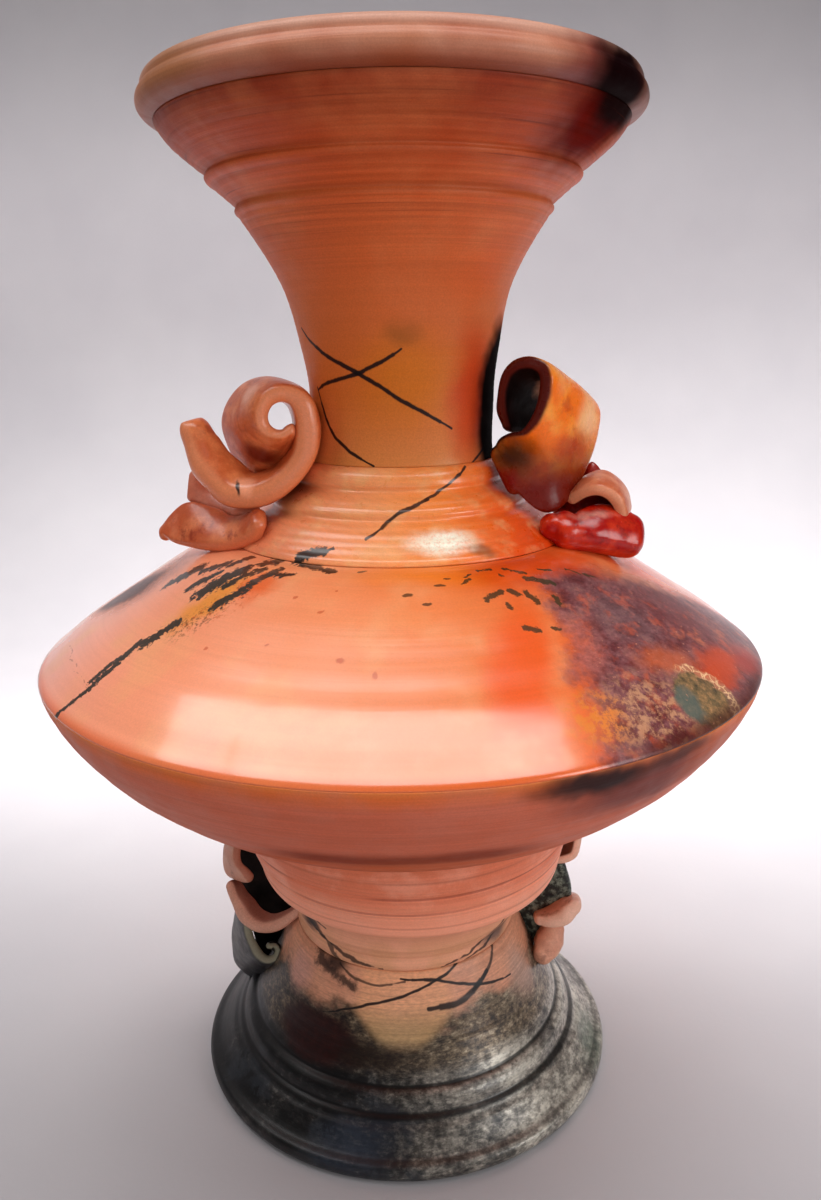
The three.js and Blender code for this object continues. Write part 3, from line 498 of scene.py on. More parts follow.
class Net:
    """A node material in millimetres of the object's own frame."""

    def __init__(self, name):
        self.mat = bpy.data.materials.new(name)
        self.mat.use_nodes = True
        self.t = self.mat.node_tree
        self.t.nodes.clear()
        self.out = self.t.nodes.new("ShaderNodeOutputMaterial")
        self.b = self.t.nodes.new("ShaderNodeBsdfPrincipled")
        self.t.links.new(self.b.outputs[0], self.out.inputs[0])
        tc = self.t.nodes.new("ShaderNodeTexCoord")
        self.P = self.v("SCALE", Sock(self, tc.outputs["Object"]), scale=1000.0)
        self._xyz = None

    def put(self, sock, val):
        if isinstance(val, Sock):
            self.t.links.new(val.s, sock)
        elif isinstance(val, (tuple, list)):
            sock.default_value = val if len(sock.default_value) == len(val) else tuple(val)[:len(sock.default_value)]
        else:
            sock.default_value = val

    def m(self, op, a, b=0.0, c=None, clamp=False):
        n = self.t.nodes.new("ShaderNodeMath")
        n.operation = op
        n.use_clamp = clamp
        self.put(n.inputs[0], a)
        self.put(n.inputs[1], b)
        if c is not None:
            self.put(n.inputs[2], c)
        return Sock(self, n.outputs[0])

    def v(self, op, a, b=None, c=None, scale=None):
        n = self.t.nodes.new("ShaderNodeVectorMath")
        n.operation = op
        self.put(n.inputs[0], a)
        if b is not None:
            self.put(n.inputs[1], b)
        if c is not None:
            self.put(n.inputs[2], c)
        if scale is not None:
            n.inputs["Scale"].default_value = scale
        return Sock(self, n.outputs["Value"] if op in ("LENGTH", "DISTANCE", "DOT_PRODUCT") else n.outputs["Vector"])

    def xyz(self, vec=None):
        if vec is None and self._xyz:
            return self._xyz
        n = self.t.nodes.new("ShaderNodeSeparateXYZ")
        self.put(n.inputs[0], vec or self.P)
        r = tuple(Sock(self, n.outputs[i]) for i in range(3))
        if vec is None:
            self._xyz = r
        return r

    def comb(self, x, y, z):
        n = self.t.nodes.new("ShaderNodeCombineXYZ")
        for i, q in enumerate((x, y, z)):
            self.put(n.inputs[i], q)
        return Sock(self, n.outputs[0])

    def map(self, vec, loc=(0, 0, 0), rot=(0, 0, 0), scale=(1, 1, 1), kind="POINT"):
        n = self.t.nodes.new("ShaderNodeMapping")
        n.vector_type = kind
        self.put(n.inputs["Vector"], vec)
        n.inputs["Location"].default_value = loc
        n.inputs["Rotation"].default_value = rot
        n.inputs["Scale"].default_value = scale
        return Sock(self, n.outputs[0])

    def noise(self, vec, size=10.0, detail=2.0, rough=0.5, off=0.0, stretch=(1, 1, 1), rot=(0, 0, 0), dist=0.0, colour=False):
        """Fractal noise whose features are about size millimetres, longer by stretch along each axis."""
        if rot != (0, 0, 0):
            vec = self.map(vec, rot=tuple(-r for r in rot))
        q = self.map(vec, loc=(off * 1.7 + 3.1, off * 2.3 - 7.7, off * 3.1 + 1.3),
                     scale=tuple(1.0 / (size * s) for s in stretch))
        n = self.t.nodes.new("ShaderNodeTexNoise")
        self.put(n.inputs["Vector"], q)
        n.inputs["Scale"].default_value = 1.0
        n.inputs["Detail"].default_value = detail
        n.inputs["Roughness"].default_value = rough
        n.inputs["Distortion"].default_value = dist
        return Sock(self, n.outputs["Color" if colour else "Fac"])

    def cells(self, vec, size, off=0.0, stretch=(1, 1, 1), feature="F1", rnd=1.0, out="Distance"):
        q = self.map(vec, loc=(off, off * 2, off * 3), scale=tuple(1.0 / (size * s) for s in stretch))
        n = self.t.nodes.new("ShaderNodeTexVoronoi")
        n.feature = feature
        self.put(n.inputs["Vector"], q)
        n.inputs["Scale"].default_value = 1.0
        n.inputs["Randomness"].default_value = rnd
        return Sock(self, n.outputs[out])

    def step(self, val, lo, hi, a=0.0, b=1.0, kind="SMOOTHSTEP"):
        n = self.t.nodes.new("ShaderNodeMapRange")
        n.interpolation_type = kind
        self.put(n.inputs["Value"], val)
        for k, q in (("From Min", lo), ("From Max", hi), ("To Min", a), ("To Max", b)):
            self.put(n.inputs[k], q)
        return Sock(self, n.outputs[0])

    def warp(self, vec, size, amp, off=0.0, detail=2.0):
        c = self.noise(vec, size, detail, 0.55, off, colour=True)
        c = self.v("SUBTRACT", c, (0.5, 0.5, 0.5))
        return self.v("MULTIPLY_ADD", c, (amp * 2, amp * 2, amp * 2), vec)

    def blob(self, vec, at, radii, turn=0.0, soft=(0.45, 1.0)):
        """1 inside an ellipsoid, 0 outside, soft between; turn is about the vertical axis, in degrees."""
        q = self.map(vec, loc=at, rot=(0, 0, math.radians(turn)), scale=radii, kind="TEXTURE")
        return self.step(self.v("LENGTH", q), soft[0], soft[1], 1.0, 0.0)

    def segdist(self, vec, a, b):
        """Distance to the segment a-b of the plane that vec's x and y span."""
        dx, dy = b[0] - a[0], b[1] - a[1]
        L = math.hypot(dx, dy)
        q = self.map(vec, loc=(a[0], a[1], 0), rot=(0, 0, math.atan2(dy, dx)), kind="TEXTURE")
        near = self.v("MINIMUM", self.v("MAXIMUM", q, (0, 0, 0)), (L, 0, 0))
        return self.v("DISTANCE", q, near)

    def path(self, vec, pts):
        d = None
        for a, b in zip(pts[:-1], pts[1:]):
            s = self.segdist(vec, a, b)
            d = s if d is None else self.m("MINIMUM", d, s)
        return d

    def marks(self, vec, runs, grow=0.0):
        """Smallest distance over radius of many short marks: runs of (x, y, radius) points."""
        d = None
        for run in runs:
            for a, b in zip(run[:-1], run[1:]):
                s = self.segdist(vec, a, b) * (1.0 / (0.5 * (a[2] + b[2]) + grow))
                d = s if d is None else self.m("MINIMUM", d, s)
        return d

    def hair(self, vec, pts, w, wob, ragged=0.5, tip=0.45):
        """A burnt-in hair line: a smooth curve through pts, w mm wide, thinner at both ends."""
        s = spline([(x, y, 0.0) for x, y in pts], 6.0)
        n_ = len(s) - 1
        run = []
        for i, q in enumerate(s):
            u = i / n_
            run.append((q[0], q[1], 0.5 * w * (tip + (1 - tip) * min(1.0, 4.5 * min(u, 1 - u)))))
        r = self.marks(vec, [run])
        r = r + (wob - 0.5) * (ragged * 1.6)
        return self.step(r, 0.62, 1.30, 1.0, 0.0)

    def attr(self, name):
        n = self.t.nodes.new("ShaderNodeAttribute")
        n.attribute_type = "GEOMETRY"
        n.attribute_name = name
        return Sock(self, n.outputs["Fac"])

    def mixc(self, fac, a, b, blend="MIX"):
        n = self.t.nodes.new("ShaderNodeMix")
        n.data_type = "RGBA"
        n.blend_type = blend
        n.clamp_factor = True
        self.put(n.inputs[0], fac)
        self.put(n.inputs[6], a)
        self.put(n.inputs[7], b)
        return Sock(self, n.outputs[2])

    def ramp(self, fac, stops, kind="LINEAR"):
        n = self.t.nodes.new("ShaderNodeValToRGB")
        n.color_ramp.interpolation = kind
        el = n.color_ramp.elements
        while len(el) < len(stops):
            el.new(0.5)
        for e, (p, c) in zip(el, stops):
            e.position = p
            e.color = c
        self.put(n.inputs[0], fac)
        return Sock(self, n.outputs[0])

    def bump(self, height, mm=1.0, strength=1.0):
        n = self.t.nodes.new("ShaderNodeBump")
        n.inputs["Strength"].default_value = strength
        n.inputs["Distance"].default_value = 0.001 * mm
        self.put(n.inputs["Height"], height)
        self.t.links.new(n.outputs[0], self.b.inputs["Normal"])

    def turned(self, rref):
        """(distance round the axis at radius rref from the front, height, 0), right positive."""
        x, y, z = self.xyz()
        a = self.m("ARCTAN2", x, y * -1.0)
        return self.comb(a * rref, z, 0.0)

    def finish(self, colour, rough, spec=0.5, coat=0.0, coat_rough=0.1, metal=None):
        self.put(self.b.inputs["Base Color"], colour)
        self.put(self.b.inputs["Roughness"], rough)
        self.put(self.b.inputs["Specular IOR Level"], spec)
        self.put(self.b.inputs["Coat Weight"], coat)
        self.b.inputs["Coat Roughness"].default_value = coat_rough
        if metal is not None:
            self.put(self.b.inputs["Metallic"], metal)
        return self.mat


SOOT = srgb(18, 9, 8)
BURNT = srgb(70, 14, 8)


def grain(n, amount=0.10, size=0.5, off=0.0):
    """Fine sandy grain of fired clay: a factor round 1."""
    return n.step(n.noise(n.P, size, 1.0, 0.6, off), 0.25, 0.75, 1 - amount, 1 + amount, "LINEAR")


def rings(n, size, off, long=60.0, detail=2.0):
    """Noise drawn out round the axis: the marks of throwing and turning."""
    return n.noise(n.P, size, detail, 0.6, off, stretch=(long, long, 1.0))


def mulc(n, col, val):
    c = n.comb(val, val, val)
    return n.mixc(1.0, col, c, "MULTIPLY")


def neck_material():
    n = Net("red_clay_neck")
    x, y, z = n.xyz()
    P = n.P
    W = n.warp(P, 14.0, 4.5, 1.0)
    hgt = n.step(z, 237.0, 343.0, 0, 1, "LINEAR")
    big = n.noise(P, 24.0, 3.0, 0.55, 2.0)
    # the ramp's last stops, darker just under the rim, are painted shade under the rim's overhang
    col = n.ramp(hgt, [(0.0, srgb(244, 146, 74)), (0.22, srgb(236, 122, 48)), (0.45, srgb(232, 116, 56)), (0.72, srgb(222, 104, 52)), (0.86, srgb(204, 88, 44)), (0.955, srgb(176, 66, 26)), (1.0, srgb(140, 44, 14))])
    col = n.mixc(n.step(big, 0.42, 0.72, 0, 0.4), col, srgb(234, 134, 82))
    # ochre glow on the front, deep orange to the right, where the flame reached
    col = n.mixc(n.blob(W, (4, -34, 264), (24, 24, 22), soft=(0.15, 1.0)) * 0.8, col, srgb(234, 128, 22))
    col = n.mixc(n.blob(W, (25, -24, 258), (13, 18, 34), soft=(0.2, 1.0)) * 0.9, col, srgb(222, 66, 10))
    col = n.mixc(n.blob(W, (24, -28, 296), (14, 18, 16), soft=(0.15, 1.0)) * 0.5, col, srgb(236, 96, 22))
    col = n.mixc(n.blob(W, (2, -35, 279), (8, 8, 6), soft=(0.1, 1.0)) * 0.45, col, srgb(120, 78, 20))
    # smoke beside the right scroll and under the rim
    col = n.mixc(n.blob(W, (31, -18, 252), (11, 14, 26), soft=(0.2, 1.0)) * 0.75, col, srgb(124, 16, 3))
    s_a = n.blob(W, (37, -10, 255), (13.5, 19, 30), soft=(0.74, 1.05))
    col = n.mixc(s_a, col, srgb(9, 3, 3))
    # pale patch low on the front: a painted highlight at the neck's foot
    col = n.mixc(n.blob(W, (17, -32, 233), (12, 10, 7), soft=(0.2, 1.0)) * 0.75, col, srgb(252, 204, 152))
    col = n.mixc(n.blob(W, (60, -40, 335), (30, 28, 20), soft=(0.35, 1.0)) * 0.96, col, srgb(104, 6, 3))
    s_b = n.blob(W, (68, -34, 343), (26, 28, 13), soft=(0.4, 1.0))
    col = n.mixc(s_b, col, srgb(26, 2, 2))
    col = n.mixc(n.blob(W, (-8, 62, 322), (34, 26, 22), soft=(0.2, 1.0)) * 0.85, col, srgb(58, 10, 6))
    col = n.mixc(n.blob(W, (-26, 22, 262), (20, 20, 28), soft=(0.2, 1.0)) * 0.7, col, srgb(206, 84, 30))
    # turning marks: close together and sharp on the flare, hardly any lower down
    up = n.step(z, 288.0, 314.0, 0.16, 1.0)
    r1 = rings(n, 0.75, 3.0, 90)
    r2 = rings(n, 3.0, 5.0, 50)
    k = n.m("MULTIPLY", n.step(r1, 0.28, 0.72, -0.16, 0.12, "LINEAR"), up) + 1.0
    k2 = n.m("MULTIPLY", n.step(r2, 0.3, 0.7, -0.13, 0.09, "LINEAR"), up) + 1.0
    col = mulc(n, col, k * k2 * grain(n, 0.09, 0.5) * 0.75)
    dark = n.step(r1, 0.34, 0.26, 0, 1) * n.step(z, 300.0, 322.0, 0.0, 0.8)
    col = n.mixc(dark * 0.6, col, srgb(96, 26, 8))
    # burnt-in hairs
    T = n.warp(n.turned(34.0), 11.0, 0.7, 4.0)
    wob = n.noise(P, 2.2, 2.0, 0.6, 6.0)
    for pts, w in (
        ([(-38.5, 280.4), (-33, 276.0), (-22.5, 270.3), (-12.6, 266.3), (1.2, 258.2), (10.5, 253.2), (19.5, 248.6)], 1.5),
        ([(-34.5, 260.6), (-27.5, 263.0), (-12.6, 266.8), (-3.5, 270.6), (1.8, 273.9)], 1.4),
        ([(-35.0, 261.5), (-29.5, 251.5), (-24.5, 246.5), (-17.5, 241.6), (-8.0, 237.2)], 1.25),
        ([(42.5, 252.0), (39.0, 243.0), (33.5, 239.6), (27.0, 236.0)], 1.0),
        ([(70.0, 283.0), (84.0, 270.0), (97.0, 262.0)], 1.0),
        ([(-96.0, 250.0), (-84.0, 262.0), (-73.0, 281.0), (-70.0, 292.0)], 1.0),
    ):
        mk = n.hair(T, pts, w, wob)
        col = n.mixc(mk * 0.97, col, srgb(10, 7, 12))
    h = n.m("MULTIPLY", n.m("ADD", r1 * 0.22, r2 * 0.30), up)
    h = h + n.noise(P, 0.8, 2.0, 0.6, 9.0) * 0.08
    n.bump(h, 1.0, 0.5)
    ro = n.step(n.noise(P, 6.0, 2.0, 0.6, 8.0), 0.3, 0.7, 0.42, 0.56, "LINEAR")
    soot = n.m("MAXIMUM", s_a, n.blob(W, (64, -38, 338), (30, 30, 20), soft=(0.4, 1.0)))
    return n.finish(col, ro + soot * 0.3, n.step(soot, 0, 1, 0.26, 0.02, "LINEAR"), 0.0, 0.3)


def rim_material():
    n = Net("red_clay_rim")
    x, y, z = n.xyz()
    P = n.P
    W = n.warp(P, 12.0, 4.0, 1.5)
    col = n.ramp(n.noise(P, 20.0, 2.0, 0.5, 2.0), [(0.3, srgb(190, 110, 80)), (0.55, srgb(206, 136, 106)), (0.75, srgb(194, 114, 78))])
    # paler on the roll's top: a painted highlight
    col = n.mixc(n.step(z, 350.6, 352.6, 0, 0.5), col, srgb(226, 178, 156))
    col = n.mixc(n.blob(W, (-62, -46, 348), (34, 34, 14), soft=(0.2, 1.0)) * 0.7, col, srgb(158, 96, 48))
    # darker on the roll's underside: painted shade
    col = n.mixc(n.step(z, 347.0, 342.5, 0, 0.8), col, srgb(122, 46, 22))
    col = n.mixc(n.blob(W, (56, -56, 346), (24, 20, 15), soft=(0.2, 1.0)) * 0.85, col, srgb(110, 8, 4))
    s_c = n.blob(W, (65, -44, 345), (21, 26, 16), soft=(0.45, 1.0))
    col = n.mixc(s_c, col, srgb(18, 1, 2))
    col = n.mixc(n.blob(W, (76, -20, 352), (12, 30, 12), soft=(0.3, 1.0)) * 0.9, col, srgb(60, 14, 8))
    col = n.mixc(n.blob(W, (-20, 74, 350), (34, 22, 16), soft=(0.25, 1.0)) * 0.9, col, srgb(56, 14, 10))
    r1 = rings(n, 0.8, 3.0, 80)
    col = mulc(n, col, n.step(r1, 0.3, 0.7, 0.92, 1.06, "LINEAR") * grain(n, 0.07, 0.5))
    n.bump(r1 * 0.16 + n.noise(P, 0.7, 2.0, 0.6, 9.0) * 0.06, 1.0, 0.5)
    ro = n.step(n.noise(P, 5.0, 2.0, 0.6, 8.0), 0.3, 0.7, 0.36, 0.48, "LINEAR")
    return n.finish(mulc(n, col, n.step(x, -200.0, 200.0, 0.88, 0.88)), ro + s_c * 0.3, n.step(s_c, 0, 1, 0.32, 0.02, "LINEAR"), 0.0, 0.25)


def collar_material():
    n = Net("burnished_clay_collar")
    x, y, z = n.xyz()
    P = n.P
    W = n.warp(P, 10.0, 3.5, 1.2)
    col = n.ramp(n.step(x, -55.0, 55.0, 0, 1, "LINEAR"), [(0.0, srgb(236, 126, 88)), (0.45, srgb(252, 158, 96)), (0.62, srgb(252, 140, 58)), (0.85, srgb(242, 84, 14)), (1.0, srgb(206, 54, 8))])
    col = n.mixc(n.step(n.noise(P, 9.0, 3.0, 0.6, 2.0), 0.45, 0.7, 0, 0.5), col, srgb(248, 182, 120))
    col = n.mixc(n.blob(W, (36, -18, 231), (15, 15, 12), soft=(0.2, 1.0)) * 0.85, col, srgb(140, 26, 6))
    # dark red on the left, beside the scroll: a painted shadow of the scroll on the collar
    col = n.mixc(n.blob(W, (-34, -20, 228), (12, 11, 11), soft=(0.2, 1.0)) * 0.75, col, srgb(104, 20, 8))
    col = n.mixc(n.blob(W, (26, -50, 213), (7, 4, 3), soft=(0.3, 1.0)) * 0.6, col, srgb(96, 60, 30))
    col = n.mixc(n.blob(W, (-8, 45, 222), (24, 22, 20), soft=(0.2, 1.0)) * 0.8, col, srgb(70, 22, 12))
    # pale patch on the front: a painted highlight, sheen drawn into the colour
    col = n.mixc(n.blob(W, (14, -51, 216), (15, 10, 5.5), turn=12, soft=(0.25, 1.0)) * n.step(n.noise(P, 1.2, 3.0, 0.65, 17.0), 0.32, 0.56, 0.55, 0.96), col, srgb(255, 250, 226))
    r1 = rings(n, 0.7, 3.0, 60)
    r2 = rings(n, 2.2, 5.0, 25)
    # fine scratches of the burnisher round the cone, crossing one another at a small angle
    sc = n.noise(P, 0.55, 2.0, 0.6, 12.0, stretch=(9.0, 9.0, 1.0), rot=(0.18, 0.10, 0))
    col = mulc(n, col, n.step(r1, 0.3, 0.7, 0.95, 1.03, "LINEAR") * n.step(r2, 0.3, 0.7, 0.95, 1.04, "LINEAR") * n.step(sc, 0.3, 0.7, 0.93, 1.05, "LINEAR") * grain(n, 0.07, 0.45))
    T = n.warp(n.turned(45.0), 8.0, 0.7, 4.0)
    wob = n.noise(P, 2.0, 2.0, 0.6, 6.0)
    for pts, w in (([(31.0, 236.4), (21.0, 232.0), (15.3, 229.3), (9.8, 227.3)], 1.0), ([(11.0, 227.6), (4.0, 225.6), (0.7, 224.4), (-4.5, 220.4), (-8.6, 217.4)], 1.25)):
        col = n.mixc(n.hair(T, pts, w, wob) * 0.95, col, srgb(16, 8, 8))
    # black marks that run up from the shoulder
    F = n.warp(n.map(P, scale=(1, 1, 0)), 2.6, 0.8, 7.0)
    mk = n.marks(F, BLACK_MARKS) + (n.noise(P, 1.3, 3.0, 0.7, 41.0) - 0.5) * 1.5
    col = n.mixc(n.step(mk, 0.8, 1.1, 1, 0) * n.step(z, 216.5, 214.5, 0, 1) * 0.97, col, srgb(20, 21, 20))
    n.bump(r1 * 0.08 + r2 * 0.22 + sc * 0.06 + n.noise(P, 0.8, 2.0, 0.6, 9.0) * 0.08, 1.0, 0.45)
    ro = n.step(n.noise(P, 4.0, 2.0, 0.6, 8.0), 0.3, 0.7, 0.26, 0.40, "LINEAR")
    return n.finish(col, ro, 0.55, 0.45, 0.16)


# ragged black marks on the shoulder, runs of x, y and half width in millimetres
LINE_MARKS = [
    [(-102.5, -75.2, 0.30), (-91.8, -72.4, 0.55)], [(-91.8, -72.4, 0.65), (-84.6, -68.2, 0.6)],
    [(-92.6, -69.8, 0.65), (-87.4, -66.5, 0.45)], [(-84.7, -66.4, 0.9), (-79.0, -62.7, 1.1)],
    [(-76.7, -64.2, 1.4), (-67.5, -62.0, 1.5)],
]
FLECK_MARKS = [
    [(-55.5, -62.4, 1.2), (-46.6, -60.2, 1.1)], [(-47.4, -59.8, 0.6), (-36.3, -54.6, 0.7)],
    [(-61.2, -52.8, 1.8), (-47.9, -49.0, 2.0)], [(-75.5, -34.8, 1.4), (-64.6, -35.8, 1.6)],
    [(-63.4, -39.8, 0.7), (-54.8, -40.8, 0.8)], [(-54.0, -42.8, 0.7), (-47.5, -40.7, 0.6)],
    [(-41.7, -47.8, 1.6), (-37.3, -47.3, 1.6)], [(-66.5, -46.6, 0.7), (-57.0, -45.4, 0.8)],
    [(-53.0, -54.6, 0.7), (-42.0, -51.8, 0.6)], [(-36.3, -57.8, 0.4), (-31.6, -58.8, 0.3)],
]
BLACK_MARKS = [
    [(-30.6, -49.7, 1.9), (-23.0, -51.3, 1.6)], [(-23.0, -51.3, 1.0), (-20.1, -51.2, 0.5)], [(-29.3, -52.8, 0.7), (-19.9, -60.0, 0.5)],
]
RIGHT_MARKS = [
    [(25.6, -72.8, 1.0), (30.3, -68.5, 1.0)], [(33.1, -67.8, 1.2), (35.2, -68.2, 1.2)], [(38.2, -66.8, 1.1), (41.1, -68.8, 1.1)], [(31.7, -73.0, 0.9), (32.7, -73.8, 0.9)],
    [(47.0, -64.8, 1.1), (47.9, -67.0, 1.1)], [(35.9, -79.8, 0.8), (40.5, -79.2, 0.8)], [(44.4, -77.0, 0.6), (46.9, -76.8, 0.6)], [(18.9, -67.5, 0.7), (20.9, -65.2, 0.7)],
    [(19.7, -64.5, 0.5), (21.7, -62.8, 0.5)], [(31.9, -57.0, 0.7), (38.4, -57.6, 0.7)], [(38.6, -60.2, 1.2), (46.9, -58.8, 1.0)], [(52.1, -49.0, 0.5), (56.8, -49.0, 0.5)],
    [(58.0, -48.0, 0.5), (61.6, -46.8, 0.5)], [(43.0, -53.6, 0.5), (47.0, -52.4, 0.5)], [(24.0, -60.0, 0.6), (28.0, -58.4, 0.5)], [(30.5, -60.5, 0.6), (31.2, -61.0, 0.6)],
]


def shoulder_material():
    n = Net("burnished_clay_shoulder")
    x, y, z = n.xyz()
    P = n.P
    r = n.m("SQRT", x * x + y * y)
    W = n.warp(P, 16.0, 5.0, 1.0)
    F = n.warp(n.map(P, scale=(1, 1, 0)), 2.6, 0.8, 7.0)
    W2 = n.warp(W, 5.0, 2.2, 7.0)
    col = n.ramp(n.step(x, -125.0, 60.0, 0, 1, "LINEAR"), [(0.0, srgb(248, 164, 138)), (0.25, srgb(250, 156, 118)), (0.55, srgb(244, 144, 94)), (0.78, srgb(238, 126, 64)), (1.0, srgb(236, 92, 28))])
    big = n.noise(P, 24.0, 3.0, 0.55, 2.0)
    col = n.mixc(n.step(big, 0.45, 0.72, 0, 0.5), col, srgb(246, 170, 116))
    # orange flash under the collar and along the smoke's edge
    col = n.mixc(n.blob(W, (16, -62, 210), (40, 11, 20), turn=4, soft=(0.2, 1.0)) * 0.75, col, srgb(246, 126, 18))
    col = n.mixc(n.blob(W, (34, -92, 190), (14, 34, 30), turn=-8, soft=(0.3, 1.0)) * 0.85, col, srgb(240, 84, 6))
    col = n.mixc(n.blob(W, (40, -54, 205), (34, 17, 20), turn=30, soft=(0.3, 1.0)) * 0.85, col, srgb(222, 68, 10))
    # edge: thin orange band
    col = n.mixc(n.step(r, 123.5, 126.5, 0, 0.65), col, srgb(226, 92, 34))
    # ochre and rust stain between the streaks on the left
    col = n.mixc(n.blob(W2, (-56, -59, 201), (23, 9, 24), turn=14, soft=(0.2, 1.0)) * 0.85, col, srgb(234, 142, 34))
    col = n.mixc(n.blob(W2, (-41, -60, 205), (12, 7, 20), turn=20, soft=(0.2, 1.0)) * 0.8, col, srgb(234, 92, 14))
    rust = n.step(n.noise(P, 1.3, 4.0, 0.72, 51.0), 0.50, 0.60, 0, 1) * n.blob(W, (-60, -65, 200), (13, 6.5, 30), turn=10, soft=(0.3, 1.0))
    col = n.mixc(rust * 0.8, col, srgb(96, 52, 22))
    col = n.mixc(n.step(n.noise(P, 1.6, 3.0, 0.7, 52.0), 0.56, 0.64, 0, 1) * n.blob(W, (-52, -63, 200), (20, 8, 30), turn=14, soft=(0.3, 1.0)) * 0.7, col, srgb(206, 84, 20))
    # grey smoke on the left flank, grained at its margin
    sp = n.noise(P, 0.9, 3.0, 0.65, 11.0)
    col = n.mixc(n.blob(W2, (-92, -15, 193), (29, 17, 60), turn=-38, soft=(0.45, 1.05)) * n.step(sp, 0.35, 0.65, 0.85, 0.42), col, srgb(106, 72, 70))
    col = n.mixc(n.blob(W2, (-95, -13, 191), (20, 11, 60), turn=-36, soft=(0.5, 1.0)) * n.step(sp, 0.2, 0.6, 1.0, 0.78), col, srgb(40, 30, 36))
    # purple smoke on the right: from the collar's foot down to the edge, round past the silhouette
    jag = n.noise(P, 13.0, 4.0, 0.62, 61.0)
    s1 = n.step(n.m("ADD", x + (y + 60.0) * 0.15, (jag - 0.5) * 26.0), 40.0, 50.0, 0, 1)
    s2 = n.step(n.m("ADD", x * 0.571 - y * 0.82, (jag - 0.5) * 12.0), 66.0, 76.0, 0, 1)
    s3 = n.step(n.m("ADD", y, (jag - 0.5) * 14.0), 22.0, -2.0, 0, 1)
    sm = s1 * s2 * s3
    mot = n.noise(P, 8.0, 5.0, 0.72, 4.0, dist=0.2)
    smc = n.ramp(mot, [(0.30, srgb(88, 26, 28)), (0.42, srgb(110, 50, 52)), (0.52, srgb(130, 76, 78)), (0.62, srgb(148, 94, 90)), (0.76, srgb(186, 102, 74))])
    smc = n.mixc(n.blob(W, (88, -42, 186), (26, 26, 30), turn=0, soft=(0.2, 1.0)) * 0.6, smc, srgb(118, 26, 22))
    smc = n.mixc(n.blob(W, (66, -62, 192), (17, 14, 30), turn=30, soft=(0.2, 1.0)) * 0.5, smc, srgb(122, 92, 94))
    smc = n.mixc(n.blob(W, (52, -80, 192), (10, 18, 30), turn=-10, soft=(0.2, 1.0)) * 0.5, smc, srgb(214, 110, 88))
    fine = n.noise(P, 0.9, 4.0, 0.72, 12.0, stretch=(2.2, 2.2, 1.0), rot=(0, 0, math.radians(35)))
    smc = mulc(n, smc, n.step(fine, 0.3, 0.7, 0.60, 1.16, "LINEAR"))
    col = n.mixc(sm * n.step(n.noise(P, 6.0, 4.0, 0.65, 21.0), 0.28, 0.50, 0.62, 1.0), col, smc)
    # ochre cloud low on the right, red flash at the far edge
    ocm = n.step(n.noise(P, 3.6, 5.0, 0.74, 15.0, dist=0.15), 0.44, 0.60, 0, 1)
    oc = n.blob(W2, (70, -94, 176), (26, 14, 30), turn=32, soft=(0.3, 1.0))
    col = n.mixc(oc * ocm * 0.85, col, srgb(198, 142, 106))
    col = n.mixc(n.blob(W2, (52, -103, 177), (14, 9, 24), turn=20, soft=(0.3, 1.0)) * n.step(ocm, 0.0, 1.0, 0.15, 0.85), col, srgb(232, 128, 34))
    col = n.mixc(n.blob(W2, (98, -62, 176), (26, 8.5, 26), turn=52, soft=(0.3, 1.0)) * 0.85, col, srgb(206, 72, 24))
    col = n.mixc(n.blob(W2, (78, -72, 182), (17, 7, 26), turn=40, soft=(0.3, 1.0)) * 0.6, col, srgb(206, 96, 46))
    col = n.mixc(n.blob(W2, (113, -44, 173), (7, 17, 26), turn=-20, soft=(0.3, 1.0)) * 0.7, col, srgb(176, 44, 14))
    # grey-green blotch with a pale crackled margin
    G = n.warp(n.warp(P, 7.0, 3.2, 71.0), 2.2, 1.2, 72.0)
    blotch = n.blob(G, (87.5, -82.5, 174), (12.5, 9.0, 30), turn=42, soft=(0.80, 0.98))
    gc = n.ramp(n.noise(P, 2.6, 4.0, 0.72, 17.0), [(0.32, srgb(66, 64, 46)), (0.48, srgb(112, 94, 62)), (0.62, srgb(160, 122, 80)), (0.76, srgb(196, 158, 104))])
    gc = n.mixc(n.blob(G, (81, -88, 174), (7, 9, 30), turn=-30, soft=(0.5, 1.0)) * 0.85, gc, srgb(86, 100, 92))
    col = n.mixc(blotch * 0.92, col, gc)
    outer = n.blob(G, (88.0, -81.5, 174), (15.5, 11.5, 30), turn=42, soft=(0.86, 1.0)) - blotch
    side = n.step(n.m("ADD", x * 0.74 + y * 0.67, 0.0), 6.0, 16.0, 0.05, 1.0)
    vein = n.step(n.cells(n.warp(P, 3.0, 1.4, 73.0), 2.3, 1.0, feature="DISTANCE_TO_EDGE"), 0.02, 0.12, 1.0, 0.25)
    col = n.mixc(n.m("MULTIPLY", outer * side, vein, clamp=True), col, srgb(236, 190, 142))
    # dark rim line under the blotch, along the edge on the right
    col = n.mixc(n.step(r, 122.0, 126.5, 0, 1) * n.step(x, 55.0, 75.0, 0, 1) * n.step(y, -40.0, -60.0, 0, 1) * 0.75, col, srgb(74, 22, 10))
    # pale scratches and specks in the smoke
    fl = n.step(n.noise(P, 1.4, 3.0, 0.7, 31.0), 0.64, 0.74, 0, 0.6)
    col = n.mixc(sm * fl, col, srgb(232, 156, 118))
